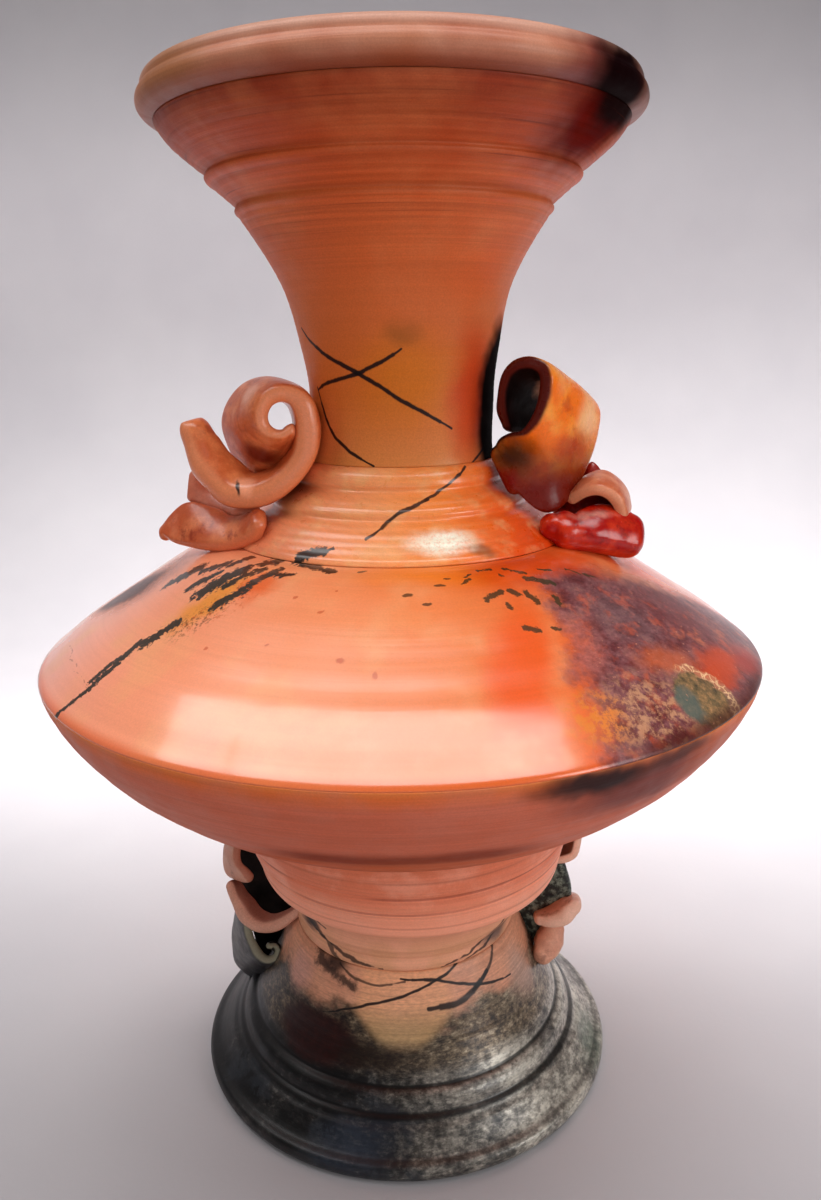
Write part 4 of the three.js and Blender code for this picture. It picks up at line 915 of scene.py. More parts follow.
    # black marks, their edges torn
    rag = (n.noise(P, 1.3, 3.0, 0.72, 41.0) - 0.5)
    line = n.step(n.marks(F, LINE_MARKS, 0.55) + rag * 3.4, 0.90, 1.15, 1, 0)
    fle = n.marks(F, FLECK_MARKS + BLACK_MARKS, 0.8) + (n.noise(P, 1.5, 4.0, 0.75, 42.0, stretch=(2.0, 1.0, 1.0), rot=(0, 0, math.radians(18))) - 0.5) * 4.6
    fl2 = n.step(fle, 0.90, 1.12, 1, 0)
    ink = n.mixc(n.noise(P, 1.6, 3.0, 0.7, 3.0), srgb(8, 9, 9), srgb(58, 54, 42))
    col = n.mixc(n.m("MAXIMUM", line, fl2) * 0.97, col, ink)
    rt = n.step(n.marks(F, RIGHT_MARKS) + (n.noise(P, 1.5, 4.0, 0.75, 43.0, stretch=(1.8, 1.0, 1.0)) - 0.5) * 3.4, 0.80, 1.10, 1, 0)
    col = n.mixc(rt * 0.9, col, srgb(62, 50, 26))
    # small fired specks in an arc on the front, and rust spots
    for (sx, sy, a, b, t) in ((-10.8, -61.5, 1.7, 0.8, 20), (2.9, -73.8, 2.0, 0.8, 5), (8.4, -76.9, 1.5, 0.6, 5), (12.2, -69.5, 2.2, 0.7, 12), (14.5, -66.0, 1.4, 0.5, 15)):
        col = n.mixc(n.blob(F, (sx, sy, 0), (a, b, 40), turn=t, soft=(0.7, 1.0)) * 0.85, col, srgb(58, 48, 28))
    for (sx, sy, a, b) in ((-15.8, -93.4, 1.6, 0.9), (-6.3, -98.5, 0.9, 1.3), (-55.5, -78.5, 0.9, 0.7), (-37.0, -84.0, 0.8, 0.5), (-30.0, -70.0, 0.9, 0.6), (-22.0, -77.0, 1.2, 0.6), (-18.0, -70.5, 0.6, 0.5)):
        col = n.mixc(n.blob(F, (sx, sy, 0), (a, b, 40), soft=(0.5, 1.1)) * 0.7, col, srgb(196, 72, 30))
    # diffuse clouds on the back
    col = n.mixc(n.blob(W2, (-40, 78, 195), (46, 30, 60), turn=-28, soft=(0.3, 1.0)) * n.step(mot, 0.3, 0.6, 1.0, 0.6), col, srgb(78, 44, 42))
    col = n.mixc(n.blob(W2, (40, 92, 188), (34, 16, 40), turn=-20, soft=(0.3, 1.0)) * 0.7, col, srgb(228, 98, 32))
    # hairline cracks at the left
    C = n.warp(n.map(P, scale=(1, 1, 0)), 7.0, 1.4, 5.0)
    cr = n.step(n.path(C, [(-113, -27), (-109, -38), (-104.5, -50), (-101, -56)]), 0.08, 0.28, 1, 0)
    cr2 = n.step(n.path(C, [(-95, -68), (-98, -63), (-101, -58)]), 0.06, 0.24, 1, 0)
    col = n.mixc(n.m("MAXIMUM", cr, cr2) * 0.5, col, srgb(120, 56, 40))
    # turning marks and grain
    rr = n.comb(x * 0.02, y * 0.02, r)
    t1 = n.noise(rr, 1.3, 2.0, 0.6, 3.0)
    t2 = n.noise(rr, 5.0, 1.0, 0.5, 5.0)
    col = mulc(n, col, n.step(t1, 0.3, 0.7, 0.965, 1.025, "LINEAR") * n.step(n.noise(P, 0.6, 1.0, 0.5, 33.0), 0.25, 0.75, 0.95, 1.04, "LINEAR"))
    n.bump(t1 * 0.05 + t2 * 0.06 + n.m("MULTIPLY", n.noise(P, 1.1, 2.0, 0.6, 9.0), n.step(sm, 0, 1, 0.02, 0.14)), 1.0, 0.5)
    ro = n.m("ADD", n.step(n.noise(P, 14.0, 2.0, 0.6, 8.0), 0.3, 0.7, 0.19, 0.26, "LINEAR"), sm * 0.14)
    # smoked clay takes less of the burnisher's shine
    smk = n.blob(W2, (-94, -14, 192), (30, 18, 60), turn=-38, soft=(0.4, 1.0))
    dull = n.m("MAXIMUM", smk, sm * 0.7)
    return n.finish(col, ro + smk * 0.12, n.step(dull, 0, 1, 0.7, 0.3, "LINEAR"), n.step(dull, 0, 1, 0.55, 0.1, "LINEAR"), 0.10)


def bowl_material():
    n = Net("matte_clay_bowl")
    x, y, z = n.xyz()
    P = n.P
    r = n.m("SQRT", x * x + y * y)
    W = n.warp(P, 12.0, 4.0, 1.0)
    col = n.ramp(n.step(z, 117.0, 170.0, 0, 1, "LINEAR"), [(0.0, srgb(206, 96, 58)), (0.30, srgb(214, 100, 58)), (0.50, srgb(214, 108, 78)), (0.86, srgb(214, 104, 72)), (0.955, srgb(230, 108, 48)), (1.0, srgb(240, 132, 66))])
    col = n.mixc(n.step(n.noise(P, 18.0, 3.0, 0.55, 2.0), 0.42, 0.7, 0, 0.4), col, srgb(214, 122, 98))
    # dark red-brown band low on the front
    bd = n.step(n.m("ABSOLUTE", z + n.noise(P, 14.0, 2.0, 0.5, 31.0, stretch=(3, 3, 1)) * 5.0 - 142.0), 1.0, 5.5, 1, 0) * n.step(n.m("ABSOLUTE", x - 1.0), 44.0, 24.0, 0, 1) * n.step(y, -60.0, -90.0, 0, 1)
    col = n.mixc(bd * 0.78, col, srgb(136, 40, 10))
    # dark red smoke under the right edge
    col = n.mixc(n.blob(W, (66, -98, 160), (42, 26, 15), turn=36, soft=(0.3, 1.0)) * 0.85, col, srgb(104, 36, 32))
    col = n.mixc(n.blob(W, (50, -112, 166), (27, 14, 7), turn=24, soft=(0.35, 1.0)) * 0.97, col, srgb(34, 3, 3))
    col = n.mixc(n.blob(W, (76, -98, 167), (20, 12, 4.5), turn=42, soft=(0.3, 1.0)) * 0.8, col, srgb(60, 16, 14))
    col = n.mixc(n.blob(W, (92, -82, 160), (28, 24, 13), turn=45, soft=(0.3, 1.0)) * 0.55, col, srgb(190, 88, 48))
    col = n.mixc(n.blob(W, (-30, 112, 158), (50, 26, 14), turn=12, soft=(0.25, 1.0)) * 0.7, col, srgb(92, 40, 32))
    rr = n.comb(x * 0.02, y * 0.02, z * 0.8 + r * 0.6)
    t1 = n.noise(rr, 0.8, 2.0, 0.6, 3.0)
    t2 = n.noise(rr, 3.0, 1.0, 0.5, 5.0)
    col = mulc(n, col, n.step(t1, 0.3, 0.7, 0.93, 1.05, "LINEAR") * n.step(t2, 0.3, 0.7, 0.95, 1.04, "LINEAR") * grain(n, 0.06, 0.6) * 0.87)
    n.bump(t1 * 0.14 + t2 * 0.14 + n.noise(P, 0.9, 2.0, 0.6, 9.0) * 0.06, 1.0, 0.5)
    ro = n.step(n.noise(P, 8.0, 2.0, 0.6, 8.0), 0.3, 0.7, 0.48, 0.62, "LINEAR")
    return n.finish(col, ro, 0.3, 0.0)


def cup_material():
    n = Net("salmon_clay_cup")
    x, y, z = n.xyz()
    P = n.P
    W = n.warp(P, 8.0, 2.4, 1.0)
    col = n.ramp(n.step(z, 56.0, 118.0, 0, 1, "LINEAR"), [(0.0, srgb(216, 154, 116)), (0.14, srgb(218, 152, 114)), (0.30, srgb(224, 150, 118)), (0.43, srgb(248, 160, 128)), (0.55, srgb(244, 148, 114)), (0.66, srgb(224, 122, 88)), (1.0, srgb(206, 102, 66))])
    col = n.mixc(n.step(n.noise(P, 12.0, 3.0, 0.55, 2.0), 0.42, 0.7, 0, 0.4), col, srgb(246, 168, 140))
    # black smoke low on the stem, left and right
    T = n.warp(n.turned(44.0), 6.0, 1.4, 4.0)
    wob = n.noise(P, 2.4, 2.0, 0.6, 6.0)
    col = n.mixc(n.hair(T, [(-40, 72), (-34, 66), (-31, 61), (-27, 56)], 3.0, wob, 1.2, 0.5) * 0.8, col, srgb(26, 18, 18))
    # darker along the incised lines' grooves: painted shade in the recesses
    for z0, k in ((98.1, 0.55), (91.0, 0.5), (105.2, 0.25), (84.6, 0.3)):
        zl = n.m("ABSOLUTE", z + (n.noise(P, 30.0, 2.0, 0.5, 44.0, stretch=(2, 2, 1)) - 0.5) * 1.6 - z0)
        col = n.mixc(n.step(zl, 0.15, 0.60, 1, 0) * n.step(n.noise(P, 16.0, 2.0, 0.5, z0, stretch=(3, 3, 1)), 0.34, 0.5, 0.1, 1) * k, col, srgb(120, 48, 30))
    col = n.mixc(n.blob(T, (-40, 70, 0), (8, 9, 9), soft=(0.2, 1.0)) * 0.9, col, srgb(26, 16, 16))
    col = n.mixc(n.blob(T, (40, 62, 0), (13, 6, 9), soft=(0.2, 1.0)) * 0.8, col, srgb(52, 46, 50))
    col = n.mixc(n.blob(T, (120, 66, 0), (26, 9, 9), soft=(0.2, 1.0)) * 0.9, col, srgb(40, 30, 28))
    for pts, w in (([(-46, 74), (-38, 68), (-30, 62.5), (-20, 59), (-8, 57.4)], 1.8), ([(-44, 78), (-36, 72), (-30, 69.5)], 1.2), ([(14, 57.0), (26, 60), (36, 64.5), (44, 72)], 1.2), ([(24, 57.2), (36, 60.4), (46, 67)], 1.3)):
        col = n.mixc(n.hair(T, pts, w, wob, 0.7) * 0.85, col, srgb(22, 14, 14))
    t1 = rings(n, 0.8, 3.0, 70)
    t2 = rings(n, 2.6, 5.0, 40)
    col = mulc(n, col, n.step(t1, 0.3, 0.7, 0.93, 1.05, "LINEAR") * n.step(t2, 0.3, 0.7, 0.95, 1.04, "LINEAR") * grain(n, 0.07, 0.5))
    n.bump(t1 * 0.14 + t2 * 0.12 + n.noise(P, 0.8, 2.0, 0.6, 9.0) * 0.08, 1.0, 0.5)
    ro = n.step(n.noise(P, 6.0, 2.0, 0.6, 8.0), 0.3, 0.7, 0.46, 0.60, "LINEAR")
    return n.finish(col, ro, 0.35, 0.0, 0.3)


def pedestal_material():
    n = Net("smoked_clay_pedestal")
    x, y, z = n.xyz()
    P = n.P
    W = n.warp(P, 12.0, 3.2, 1.0)
    W2 = n.warp(W, 3.5, 1.3, 6.0)
    # silvery smoked foot
    m1 = n.noise(P, 12.0, 4.0, 0.62, 3.0, stretch=(1.6, 1.6, 1.0))
    m2 = n.noise(P, 2.4, 4.0, 0.70, 4.0, stretch=(1.5, 1.5, 1.0))
    fine = n.noise(P, 0.7, 3.0, 0.7, 5.0, stretch=(2.6, 2.6, 1.0))
    # darker to the left, where it is smoked, and paler and silvery to the right: there a painted highlight of reflected
    # light
    smoke_and_sheen_tilt = n.step(x + y * 0.25, -62.0, 34.0, -0.13, 0.115)
    mix = n.m("ADD", m1 * 0.46 + m2 * 0.36 + fine * 0.18, smoke_and_sheen_tilt)
    foot = n.ramp(mix, [(0.36, srgb(12, 11, 11)), (0.45, srgb(38, 36, 35)), (0.52, srgb(86, 82, 76)), (0.60, srgb(146, 140, 130)), (0.68, srgb(204, 198, 184))])
    foot = n.mixc(n.step(n.noise(P, 17.0, 2.0, 0.5, 8.0), 0.52, 0.66, 0, 0.3), foot, srgb(60, 66, 74), "MIX")
    # black blotches on the left of the foot
    foot = n.mixc(n.step(n.noise(P, 6.0, 4.0, 0.68, 18.0, stretch=(1.0, 1.0, 1.6)), 0.50, 0.58, 0, 1) * n.step(x, 20.0, -40.0, 0.15, 0.92), foot, srgb(10, 10, 10))
    foot = n.mixc(n.blob(W, (-18, -72, 10), (24, 14, 14), turn=12, soft=(0.2, 1.0)) * 0.5, foot, srgb(44, 54, 70))
    foot = n.mixc(n.blob(W, (74, -22, 12), (10, 26, 14), soft=(0.2, 1.0)) * 0.5, foot, srgb(96, 118, 98))
    # clay body of the upper cone
    ub = n.mixc(n.noise(P, 7.0, 3.0, 0.6, 2.0), srgb(200, 134, 104), srgb(222, 162, 128))
    up = n.step(n.m("ADD", z, n.step(m1, 0.3, 0.7, -6.0, 6.0, "LINEAR")), 41.0, 50.0, 0, 1)
    conez = n.step(z, 24.0, 30.0, 0, 1)
    body = n.ramp(n.m("ADD", m2 * 0.6 + fine * 0.4, n.step(x, -30.0, 30.0, -0.04, 0.04)), [(0.36, srgb(24, 17, 14)), (0.48, srgb(78, 64, 50)), (0.58, srgb(124, 106, 82)), (0.70, srgb(176, 158, 132))])
    col = n.mixc(conez * 0.85, foot, body)
    col = n.mixc(up, col, ub)
    # dark maroon below left of the front, grey mottle to the right
    T0 = n.warp(n.turned(48.0), 7.0, 2.6, 14.0)
    col = n.mixc(n.blob(T0, (-31, 32, 0), (20, 10, 9), soft=(0.6, 1.0)) * 0.98, col, n.mixc(m2, srgb(12, 4, 4), srgb(54, 8, 4)))
    col = n.mixc(n.blob(W2, (-10, -53, 30), (24, 9, 6.5), soft=(0.3, 1.0)) * 0.85, col, srgb(30, 18, 13))
    col = n.mixc(n.blob(W2, (24, -44, 36), (21, 14, 10), turn=-28, soft=(0.3, 1.0)) * 0.88, col, n.ramp(m2, [(0.36, srgb(34, 24, 20)), (0.52, srgb(98, 80, 62)), (0.68, srgb(160, 142, 116))]))
    # pink flanks
    col = n.mixc(n.blob(W2, (-39, -28, 47), (9, 9, 12), turn=50, soft=(0.3, 1.0)) * 0.85, col, srgb(204, 148, 130))
    col = n.mixc(n.blob(W2, (44, -24, 43), (11, 13, 14), turn=-50, soft=(0.3, 1.0)) * 0.85, col, srgb(180, 142, 122))
    # tan shield on the front
    T = n.warp(n.turned(48.0), 9.0, 0.7, 4.0)
    a_, h_, _ = n.xyz(T)
    half = n.step(h_, 33.0, 44.0, 6.5, 18.0, "LINEAR")
    d_ = n.m("ABSOLUTE", a_ - (-0.5)) - half
    sh = n.step(d_, -4.0, 2.6, 1, 0) * n.step(h_, 31.5, 37.5, 0, 1)
    col = n.mixc(sh * 0.90, col, n.mixc(n.step(h_, 36.0, 50.0, 0, 1), srgb(194, 154, 106), srgb(228, 162, 120)))
    # black smoke licks and hairs round the waist
    wob = n.noise(P, 3.2, 2.0, 0.6, 6.0)
    col = n.mixc(n.step(n.marks(T, [[(-44, 64, 2.0), (-37.5, 54.5, 2.6)], [(-37.5, 54.5, 2.4), (-20, 50.6, 0.6)]]) + (n.noise(P, 2.0, 4.0, 0.7, 26.0) - 0.5) * 3.2, 0.3, 1.7, 1.0, 0.0) * 0.85, col, srgb(20, 13, 13))
    col = n.mixc(n.blob(T, (-30, 56, 0), (9, 4.5, 9), soft=(0.25, 1.0)) * 0.9, col, srgb(20, 11, 12))
    for pts, w, k in (([(-30, 39.5), (-14.5, 45.5), (7, 52.0), (33, 60)], 0.9, 0.97), ([(-2, 54.6), (12, 53.6), (24, 50.0), (36, 46.4), (45, 45.0)], 1.0, 0.97),
                      ([(8.5, 45.2), (17, 45.0), (26, 47.2), (34, 51.0)], 2.3, 0.95), ([(-28, 56), (-20, 53.2), (-10, 52.4), (0, 54.0)], 0.9, 0.8),
                      ([(26, 47.4), (36, 52.0), (43, 58)], 1.4, 0.85), ([(110, 52), (124, 46), (140, 44)], 1.0, 0.9), ([(-140, 50), (-124, 42), (-112, 40)], 1.0, 0.9)):
        col = n.mixc(n.hair(T, pts, w, wob, 0.35) * k, col, srgb(12, 8, 10))
    # darker in the mouldings' grooves and the crease atop the lip: painted shade in the recesses
    r = n.m("SQRT", x * x + y * y)
    groove_shade = n.m("ADD", n.step(n.m("ABSOLUTE", z - 15.8), 0.3, 1.3, 1, 0), n.step(n.m("ABSOLUTE", z - 22.8), 0.2, 0.9, 1, 0), clamp=True)
    groove_shade = n.m("MAXIMUM", groove_shade, n.step(n.m("ABSOLUTE", z - 6.8), 0.1, 0.5, 0.5, 0))
    col = n.mixc(groove_shade * 0.85, col, srgb(12, 10, 10))
    t1 = rings(n, 0.7, 3.0, 80)
    col = mulc(n, col, n.step(t1, 0.3, 0.7, 0.84, 1.12, "LINEAR") * n.step(fine, 0.3, 0.7, 0.84, 1.16, "LINEAR"))
    n.bump(t1 * 0.14 + m2 * 0.18 + fine * 0.12, 1.0, 0.45)
    ro = n.m("ADD", n.step(mix, 0.42, 0.62, 0.46, 0.30, "LINEAR"), up * 0.18)
    me = n.m("MULTIPLY", n.step(mix, 0.44, 0.62, 0.10, 0.28), 1.0 - up)
    return n.finish(col, ro, 0.5, 0.12, 0.25, metal=me)


def strip_material(name, outer, inner, edge=None, light=None, dark=None, dark_amt=0.25, rough=(0.30, 0.44), coat=0.3, extra=None, ends=None, spec=0.5, mottle=9.0, grit=1.0):
    """Applied strip: its outer face, its inner face and its front edge each take a colour of their own."""
    n = Net(name)
    P = n.P
    W = n.warp(P, 6.0, 2.2, 1.0)
    inn, acr, alo = n.attr("inner"), n.attr("across"), n.attr("along")
    f = n.noise(P, mottle, 3.0, 0.6, 2.0)
    col = n.mixc(n.step(f, 0.42, 0.68, 0, 1), outer, light or outer)
    if dark:
        col = n.mixc(n.step(n.noise(P, mottle * 0.8, 4.0, 0.65, 5.0), 0.54, 0.68, 0, dark_amt), col, dark)
    wav = (n.noise(P, 7.0, 3.0, 0.6, 15.0) - 0.5) * 0.7
    if inner is not None:
        col = n.mixc(n.step(inn + wav * 0.5, -0.05, 0.45, 0, 1), col, inner)
    if edge is not None:
        col = n.mixc(n.step(acr + wav * 0.4, -0.55, -0.85, 0, 1), col, edge)
    for e in ends or ():
        u0, u1, c, k = e
        col = n.mixc(n.step(alo + wav * 0.12, u0, u1, 0, k), col, c)
    for at, rad, c, k in extra or ():
        col = n.mixc(n.blob(W, at, rad, soft=(0.3, 1.0)) * k, col, c)
    fine = n.noise(P, 0.6, 3.0, 0.65, 7.0)
    fib = n.noise(P, 1.4, 2.0, 0.6, 8.0)
    col = mulc(n, col, n.step(fine, 0.3, 0.7, 1 - 0.09 * grit, 1 + 0.08 * grit, "LINEAR") * n.step(fib, 0.3, 0.7, 0.95, 1.04, "LINEAR"))
    n.bump(fine * 0.08 * grit + fib * 0.12 * grit + n.noise(P, 4.0, 2.0, 0.5, 9.0) * 0.35, 1.0, 0.42)
    ro = n.step(n.noise(P, 4.0, 2.0, 0.6, 10.0), 0.3, 0.7, rough[0], rough[1], "LINEAR")
    if inner is not None:
        # the hollow side was never burnished
        raw = n.step(inn + wav * 0.5, -0.05, 0.45, 0, 1)
        return n.finish(col, ro + raw * 0.3, n.step(raw, 0, 1, spec, 0.08, "LINEAR"), n.step(raw, 0, 1, coat, 0.0, "LINEAR"), 0.16)
    return n.finish(col, ro, spec, coat, 0.16)


def paper_material():
    n = Net("paper")
    x, y, z = n.xyz()
    base = n.ramp(n.noise(n.P, 160.0, 3.0, 0.6, 2.0), [(0.3, srgb(222, 217, 221)), (0.7, srgb(230, 225, 228))])
    # painted shade: the paper is darker towards the front, towards its upper end and to the left in front, standing in
    # for the falloff of light
    k = n.step(y, -180.0, 230.0, 0.56, 1.0) * n.step(z, 400.0, 660.0, 1.0, 0.60)
    k = k * (1.0 - n.step(x, -300.0, 90.0, 0.34, 0.0) * n.step(y, 0.0, 320.0, 1.0, 0.0))
    col = mulc(n, base, k)
    n.bump(n.noise(n.P, 2.2, 3.0, 0.6, 3.0) * 0.14, 1.0, 0.5)
    return n.finish(col, 0.85, 0.15)


MATERIAL = {
    "neck": neck_material(), "rim": rim_material(), "collar": collar_material(), "shoulder": shoulder_material(),
    "lower_bowl": bowl_material(), "stem_cup": cup_material(), "pedestal": pedestal_material(), "paper": paper_material(),
}
S = srgb
# on the scroll, the paler front edge and the pale spots at (-50, -28, 232) and (-48, -24, 262) are painted highlights,
# and the dark red at (-46, -22, 240) is painted shade on the cone
MATERIAL["upper_left_scroll"] = strip_material("strip_clay_scroll", S(200, 94, 48), None, edge=S(224, 132, 88), light=S(226, 128, 76), dark=S(158, 58, 28), dark_amt=0.5, coat=0.3,
                                               extra=[((-46, -22, 240), (11, 9, 7), S(104, 12, 3), 0.92), ((-38, -24, 225), (12, 8, 6), S(120, 28, 10), 0.6),
                                                      ((-50, -28, 232), (5, 6, 6), S(252, 166, 128), 0.8), ((-52.5, -30, 230.5), (0.9, 9, 3.2), S(16, 8, 6), 0.95), ((-48, -24, 262), (5, 7, 10), S(240, 176, 150), 0.7)])
MATERIAL["upper_left_leaf"] = strip_material("strip_clay_leaf", S(186, 82, 42), None, edge=S(210, 112, 70), light=S(214, 118, 74), dark=S(128, 26, 10), dark_amt=0.7, coat=0.3,
                                             extra=[((-62, -34, 205), (24, 14, 5.5), S(92, 5, 2), 0.9)])
MATERIAL["upper_left_web"] = strip_material("strip_clay_web", S(200, 112, 84), None, light=S(218, 142, 118), dark=S(150, 60, 40), dark_amt=0.4, coat=0.2)
# on the curl, the pale spots at (63, -8, 250) and (51, -15, 261) are painted highlights
MATERIAL["upper_right_curl"] = strip_material("strip_clay_curl", S(250, 118, 24), S(14, 4, 4), edge=S(88, 26, 18), light=S(255, 158, 62), dark=S(180, 44, 6), dark_amt=0.5, coat=0.2, spec=0.3, rough=(0.22, 0.34), mottle=12.0,
                                              extra=[((63, -8, 250), (8, 20, 12), S(255, 206, 160), 0.7), ((41, -12, 254), (7, 11, 14), S(8, 2, 2), 0.96), ((35, -12, 254), (6.5, 11, 15), S(66, 2, 1), 0.97), ((56, -14, 242), (11, 20, 8), S(190, 58, 12), 0.8),
                                                      ((50, -10, 222), (60, 80, 27), S(104, 6, 2), 0.98), ((39, -14, 240), (13, 30, 11), S(18, 2, 1), 0.98), ((35, -24, 231), (9, 9, 6), S(124, 5, 3), 0.9),
                                                      ((51, -15, 261), (7, 16, 7), S(255, 206, 168), 0.9)])
MATERIAL["upper_right_base"] = strip_material("strip_clay_base", S(120, 8, 3), None, light=S(160, 24, 6), dark=S(52, 3, 3), dark_amt=0.8, coat=0.55, rough=(0.22, 0.34),
                                              extra=[((36, -20, 243), (13, 14, 10), S(10, 2, 2), 0.97), ((52, -24, 232), (12, 10, 7), S(110, 6, 2), 0.7)])
# the arch's paler front edge is a painted highlight
MATERIAL["upper_right_arch"] = strip_material("strip_clay_arch", S(204, 100, 56), S(96, 10, 6), edge=S(228, 144, 104), light=S(230, 146, 108), dark=S(180, 66, 38), dark_amt=0.4, coat=0.35)
# the pale band along the tongue's top at (68, -33, 220.5) is a painted highlight
MATERIAL["upper_right_tongue"] = strip_material("strip_clay_tongue", S(170, 10, 3), None, light=S(208, 50, 18), dark=S(96, 3, 3), dark_amt=0.6, coat=0.3, rough=(0.18, 0.28),
                                                extra=[((68, -33, 220.5), (15, 9, 2.6), S(255, 176, 156), 0.75)])
MATERIAL["lower_left_upper_fold"] = strip_material("strip_clay_tan_a", S(196, 134, 110), S(96, 60, 50), edge=S(176, 112, 90), light=S(204, 148, 124), dark=S(96, 54, 42), dark_amt=0.5, coat=0.0, rough=(0.45, 0.6), spec=0.3)
MATERIAL["lower_left_mid_fold"] = strip_material("strip_clay_tan_b", S(186, 120, 100), S(160, 106, 90), edge=S(202, 146, 124), light=S(212, 152, 128), dark=S(70, 42, 34), dark_amt=0.6, coat=0.0, rough=(0.45, 0.6), spec=0.3, grit=1.6)
MATERIAL["lower_left_scroll"] = strip_material("strip_dark_scroll", S(38, 37, 39), S(60, 56, 48), edge=S(134, 128, 108), light=S(70, 68, 66), dark=S(16, 16, 18), dark_amt=0.8, coat=0.05, rough=(0.36, 0.5), spec=0.35,
                                               extra=[((-54, -20, 46), (10, 12, 9), S(4, 3, 3), 0.96)])
MATERIAL["lower_left_back_sheet"] = strip_material("strip_dark_sheet", S(16, 13, 13), None, light=S(36, 30, 28), dark=S(8, 7, 7), dark_amt=0.8, coat=0.05, rough=(0.45, 0.6), spec=0.3,
                                                   extra=[((-50, -18, 55), (5.5, 12, 4), S(120, 112, 94), 0.8)])
MATERIAL["lower_right_upper_fold"] = strip_material("strip_clay_tan_c", S(204, 134, 106), S(110, 66, 48), edge=S(228, 174, 150), light=S(218, 154, 122), dark=S(70, 34, 22), dark_amt=0.5, coat=0.0, rough=(0.4, 0.55), spec=0.35)
MATERIAL["lower_right_sheet"] = strip_material("strip_dark_speckled", S(34, 36, 32), None, light=S(128, 136, 120), dark=S(10, 10, 10), dark_amt=0.9, coat=0.1, rough=(0.4, 0.55), spec=0.4, mottle=2.6, grit=2.2)
MATERIAL["lower_right_mid_fold"] = strip_material("strip_clay_tan_d", S(222, 158, 132), None, edge=S(232, 180, 156), light=S(230, 176, 150), dark=S(120, 62, 44), dark_amt=0.5, coat=0.0, rough=(0.42, 0.56), spec=0.35,
                                                  extra=[((38, -10, 78), (9, 12, 7), S(50, 8, 6), 0.85)])
MATERIAL["lower_right_tongue"] = strip_material("strip_clay_tan_e", S(208, 144, 118), None, light=S(226, 168, 140), dark=S(120, 54, 36), dark_amt=0.5, coat=0.0, rough=(0.4, 0.55), spec=0.35,
                                                extra=[((53, -12, 55.5), (7, 9, 4.5), S(60, 14, 10), 0.85)])
_tan = strip_material("strip_clay_tan", S(188, 122, 96), None, light=S(208, 150, 122), dark=S(60, 34, 28), dark_amt=0.7, coat=0.0, rough=(0.42, 0.56), spec=0.35)
_drk = strip_material("strip_clay_dark", S(36, 34, 34), None, light=S(90, 86, 82), dark=S(12, 10, 10), dark_amt=0.9, coat=0.05)
for k in SLOT:
    if k not in MATERIAL:
        MATERIAL[k] = _drk if SLOT[k] == "strip_dark" else _tan


# ------------------------------------------------------------------ build
def rel_lines(seed, amp, f_low, f_high, n=9):
    ws = waves(seed, n, f_low, f_high)
    tw = waves(seed + 50, n, 1, 4)

    def d(A, Z, R):
        s = np.zeros_like(Z)
        for (fr, ph, g), (k, p2, _) in zip(ws, tw):
            s += g * np.sin(fr * Z + ph + 0.5 * np.sin(round(k) * A + p2))
        return amp * s / n
    return d


def bandlines(A, Z, R):
    """Shallow incised lines round the small cup, each fading in and out round the cup."""
    d = rel_lines(3, 0.16, 0.7, 2.6)(A, Z, R)
    for z0, w, dep, ph, k in ((107.6, 0.5, 0.25, 0.3, 1), (105.2, 0.5, 0.30, 2.1, 1), (98.1, 0.65, 0.70, 1.2, 0), (96.0, 0.5, 0.25, 3.9, 2), (91.0, 0.65, 0.65, 1.0, 0), (88.6, 0.5, 0.25, 0.8, 2), (84.6, 0.5, 0.25, 2.9, 1)):
        zc = z0 + 0.30 * np.sin(A + ph) + 0.2 * np.sin(3 * A + 2 * ph)
        gate = np.clip(0.62 + 0.6 * np.sin(k * A + ph * 1.7), 0, 1)
        d = d - dep * gate * np.exp(-((Z - zc) / w) ** 2)
    return d


DETAIL = {
    "pedestal": rel_lines(1, 0.20, 0.5, 2.4),
    "stem_cup": bandlines,
    "lower_bowl": rel_lines(4, 0.20, 0.3, 1.4),
    "shoulder": rel_lines(5, 0.10, 0.25, 1.2),
    "collar": rel_lines(6, 0.22, 1.2, 4.2),
    "neck": rel_lines(7, 0.16, 0.8, 3.6),
    "rim": rel_lines(8, 0.10, 0.6, 2.0),
}
SECTION = {}
for name in OUT:
    if name == "lower_bowl":
        ob = bowl(name, [(122.0, 168.2), (119.6, 166.4), (117.0, 161.0), (113.4, 154.4), (107.8, 147.4), (100.0, 140.4), (91.0, 134.2), (80.0, 128.8),
                         (66.0, 126.2), (34.0, 125.2), (0.6, 125.0)], DETAIL[name])
    else:
        ob = thrown(name, detail=DETAIL[name])
    ob.data.materials.append(MATERIAL[name])
    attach(ob, "root")
    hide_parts(name)
    SECTION[name] = ob

SHAPE = {
    "upper_left_leaf": {"taper": 0.7, "lumps": 0.5},
    "upper_right_tongue": {"taper": 0.75, "lumps": 0.4},
    "upper_right_curl": {"lumps": 0.35},
    "lower_left_mid_fold": {"taper": 0.6, "lumps": 0.6},
    "lower_right_mid_fold": {"taper": 0.7, "lumps": 0.6},
    "lower_right_tongue": {"taper": 0.8, "lumps": 0.4},
    "lower_left_upper_fold": {"lumps": 0.5},
}
for i, (name, stations) in enumerate(STRIPS.items()):
    ob = strip("strip_" + name, stations, seed=20 + i, **SHAPE.get(name, {}))
    ob.data.materials.append(MATERIAL[name])
    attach(ob, "root")
    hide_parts(name)

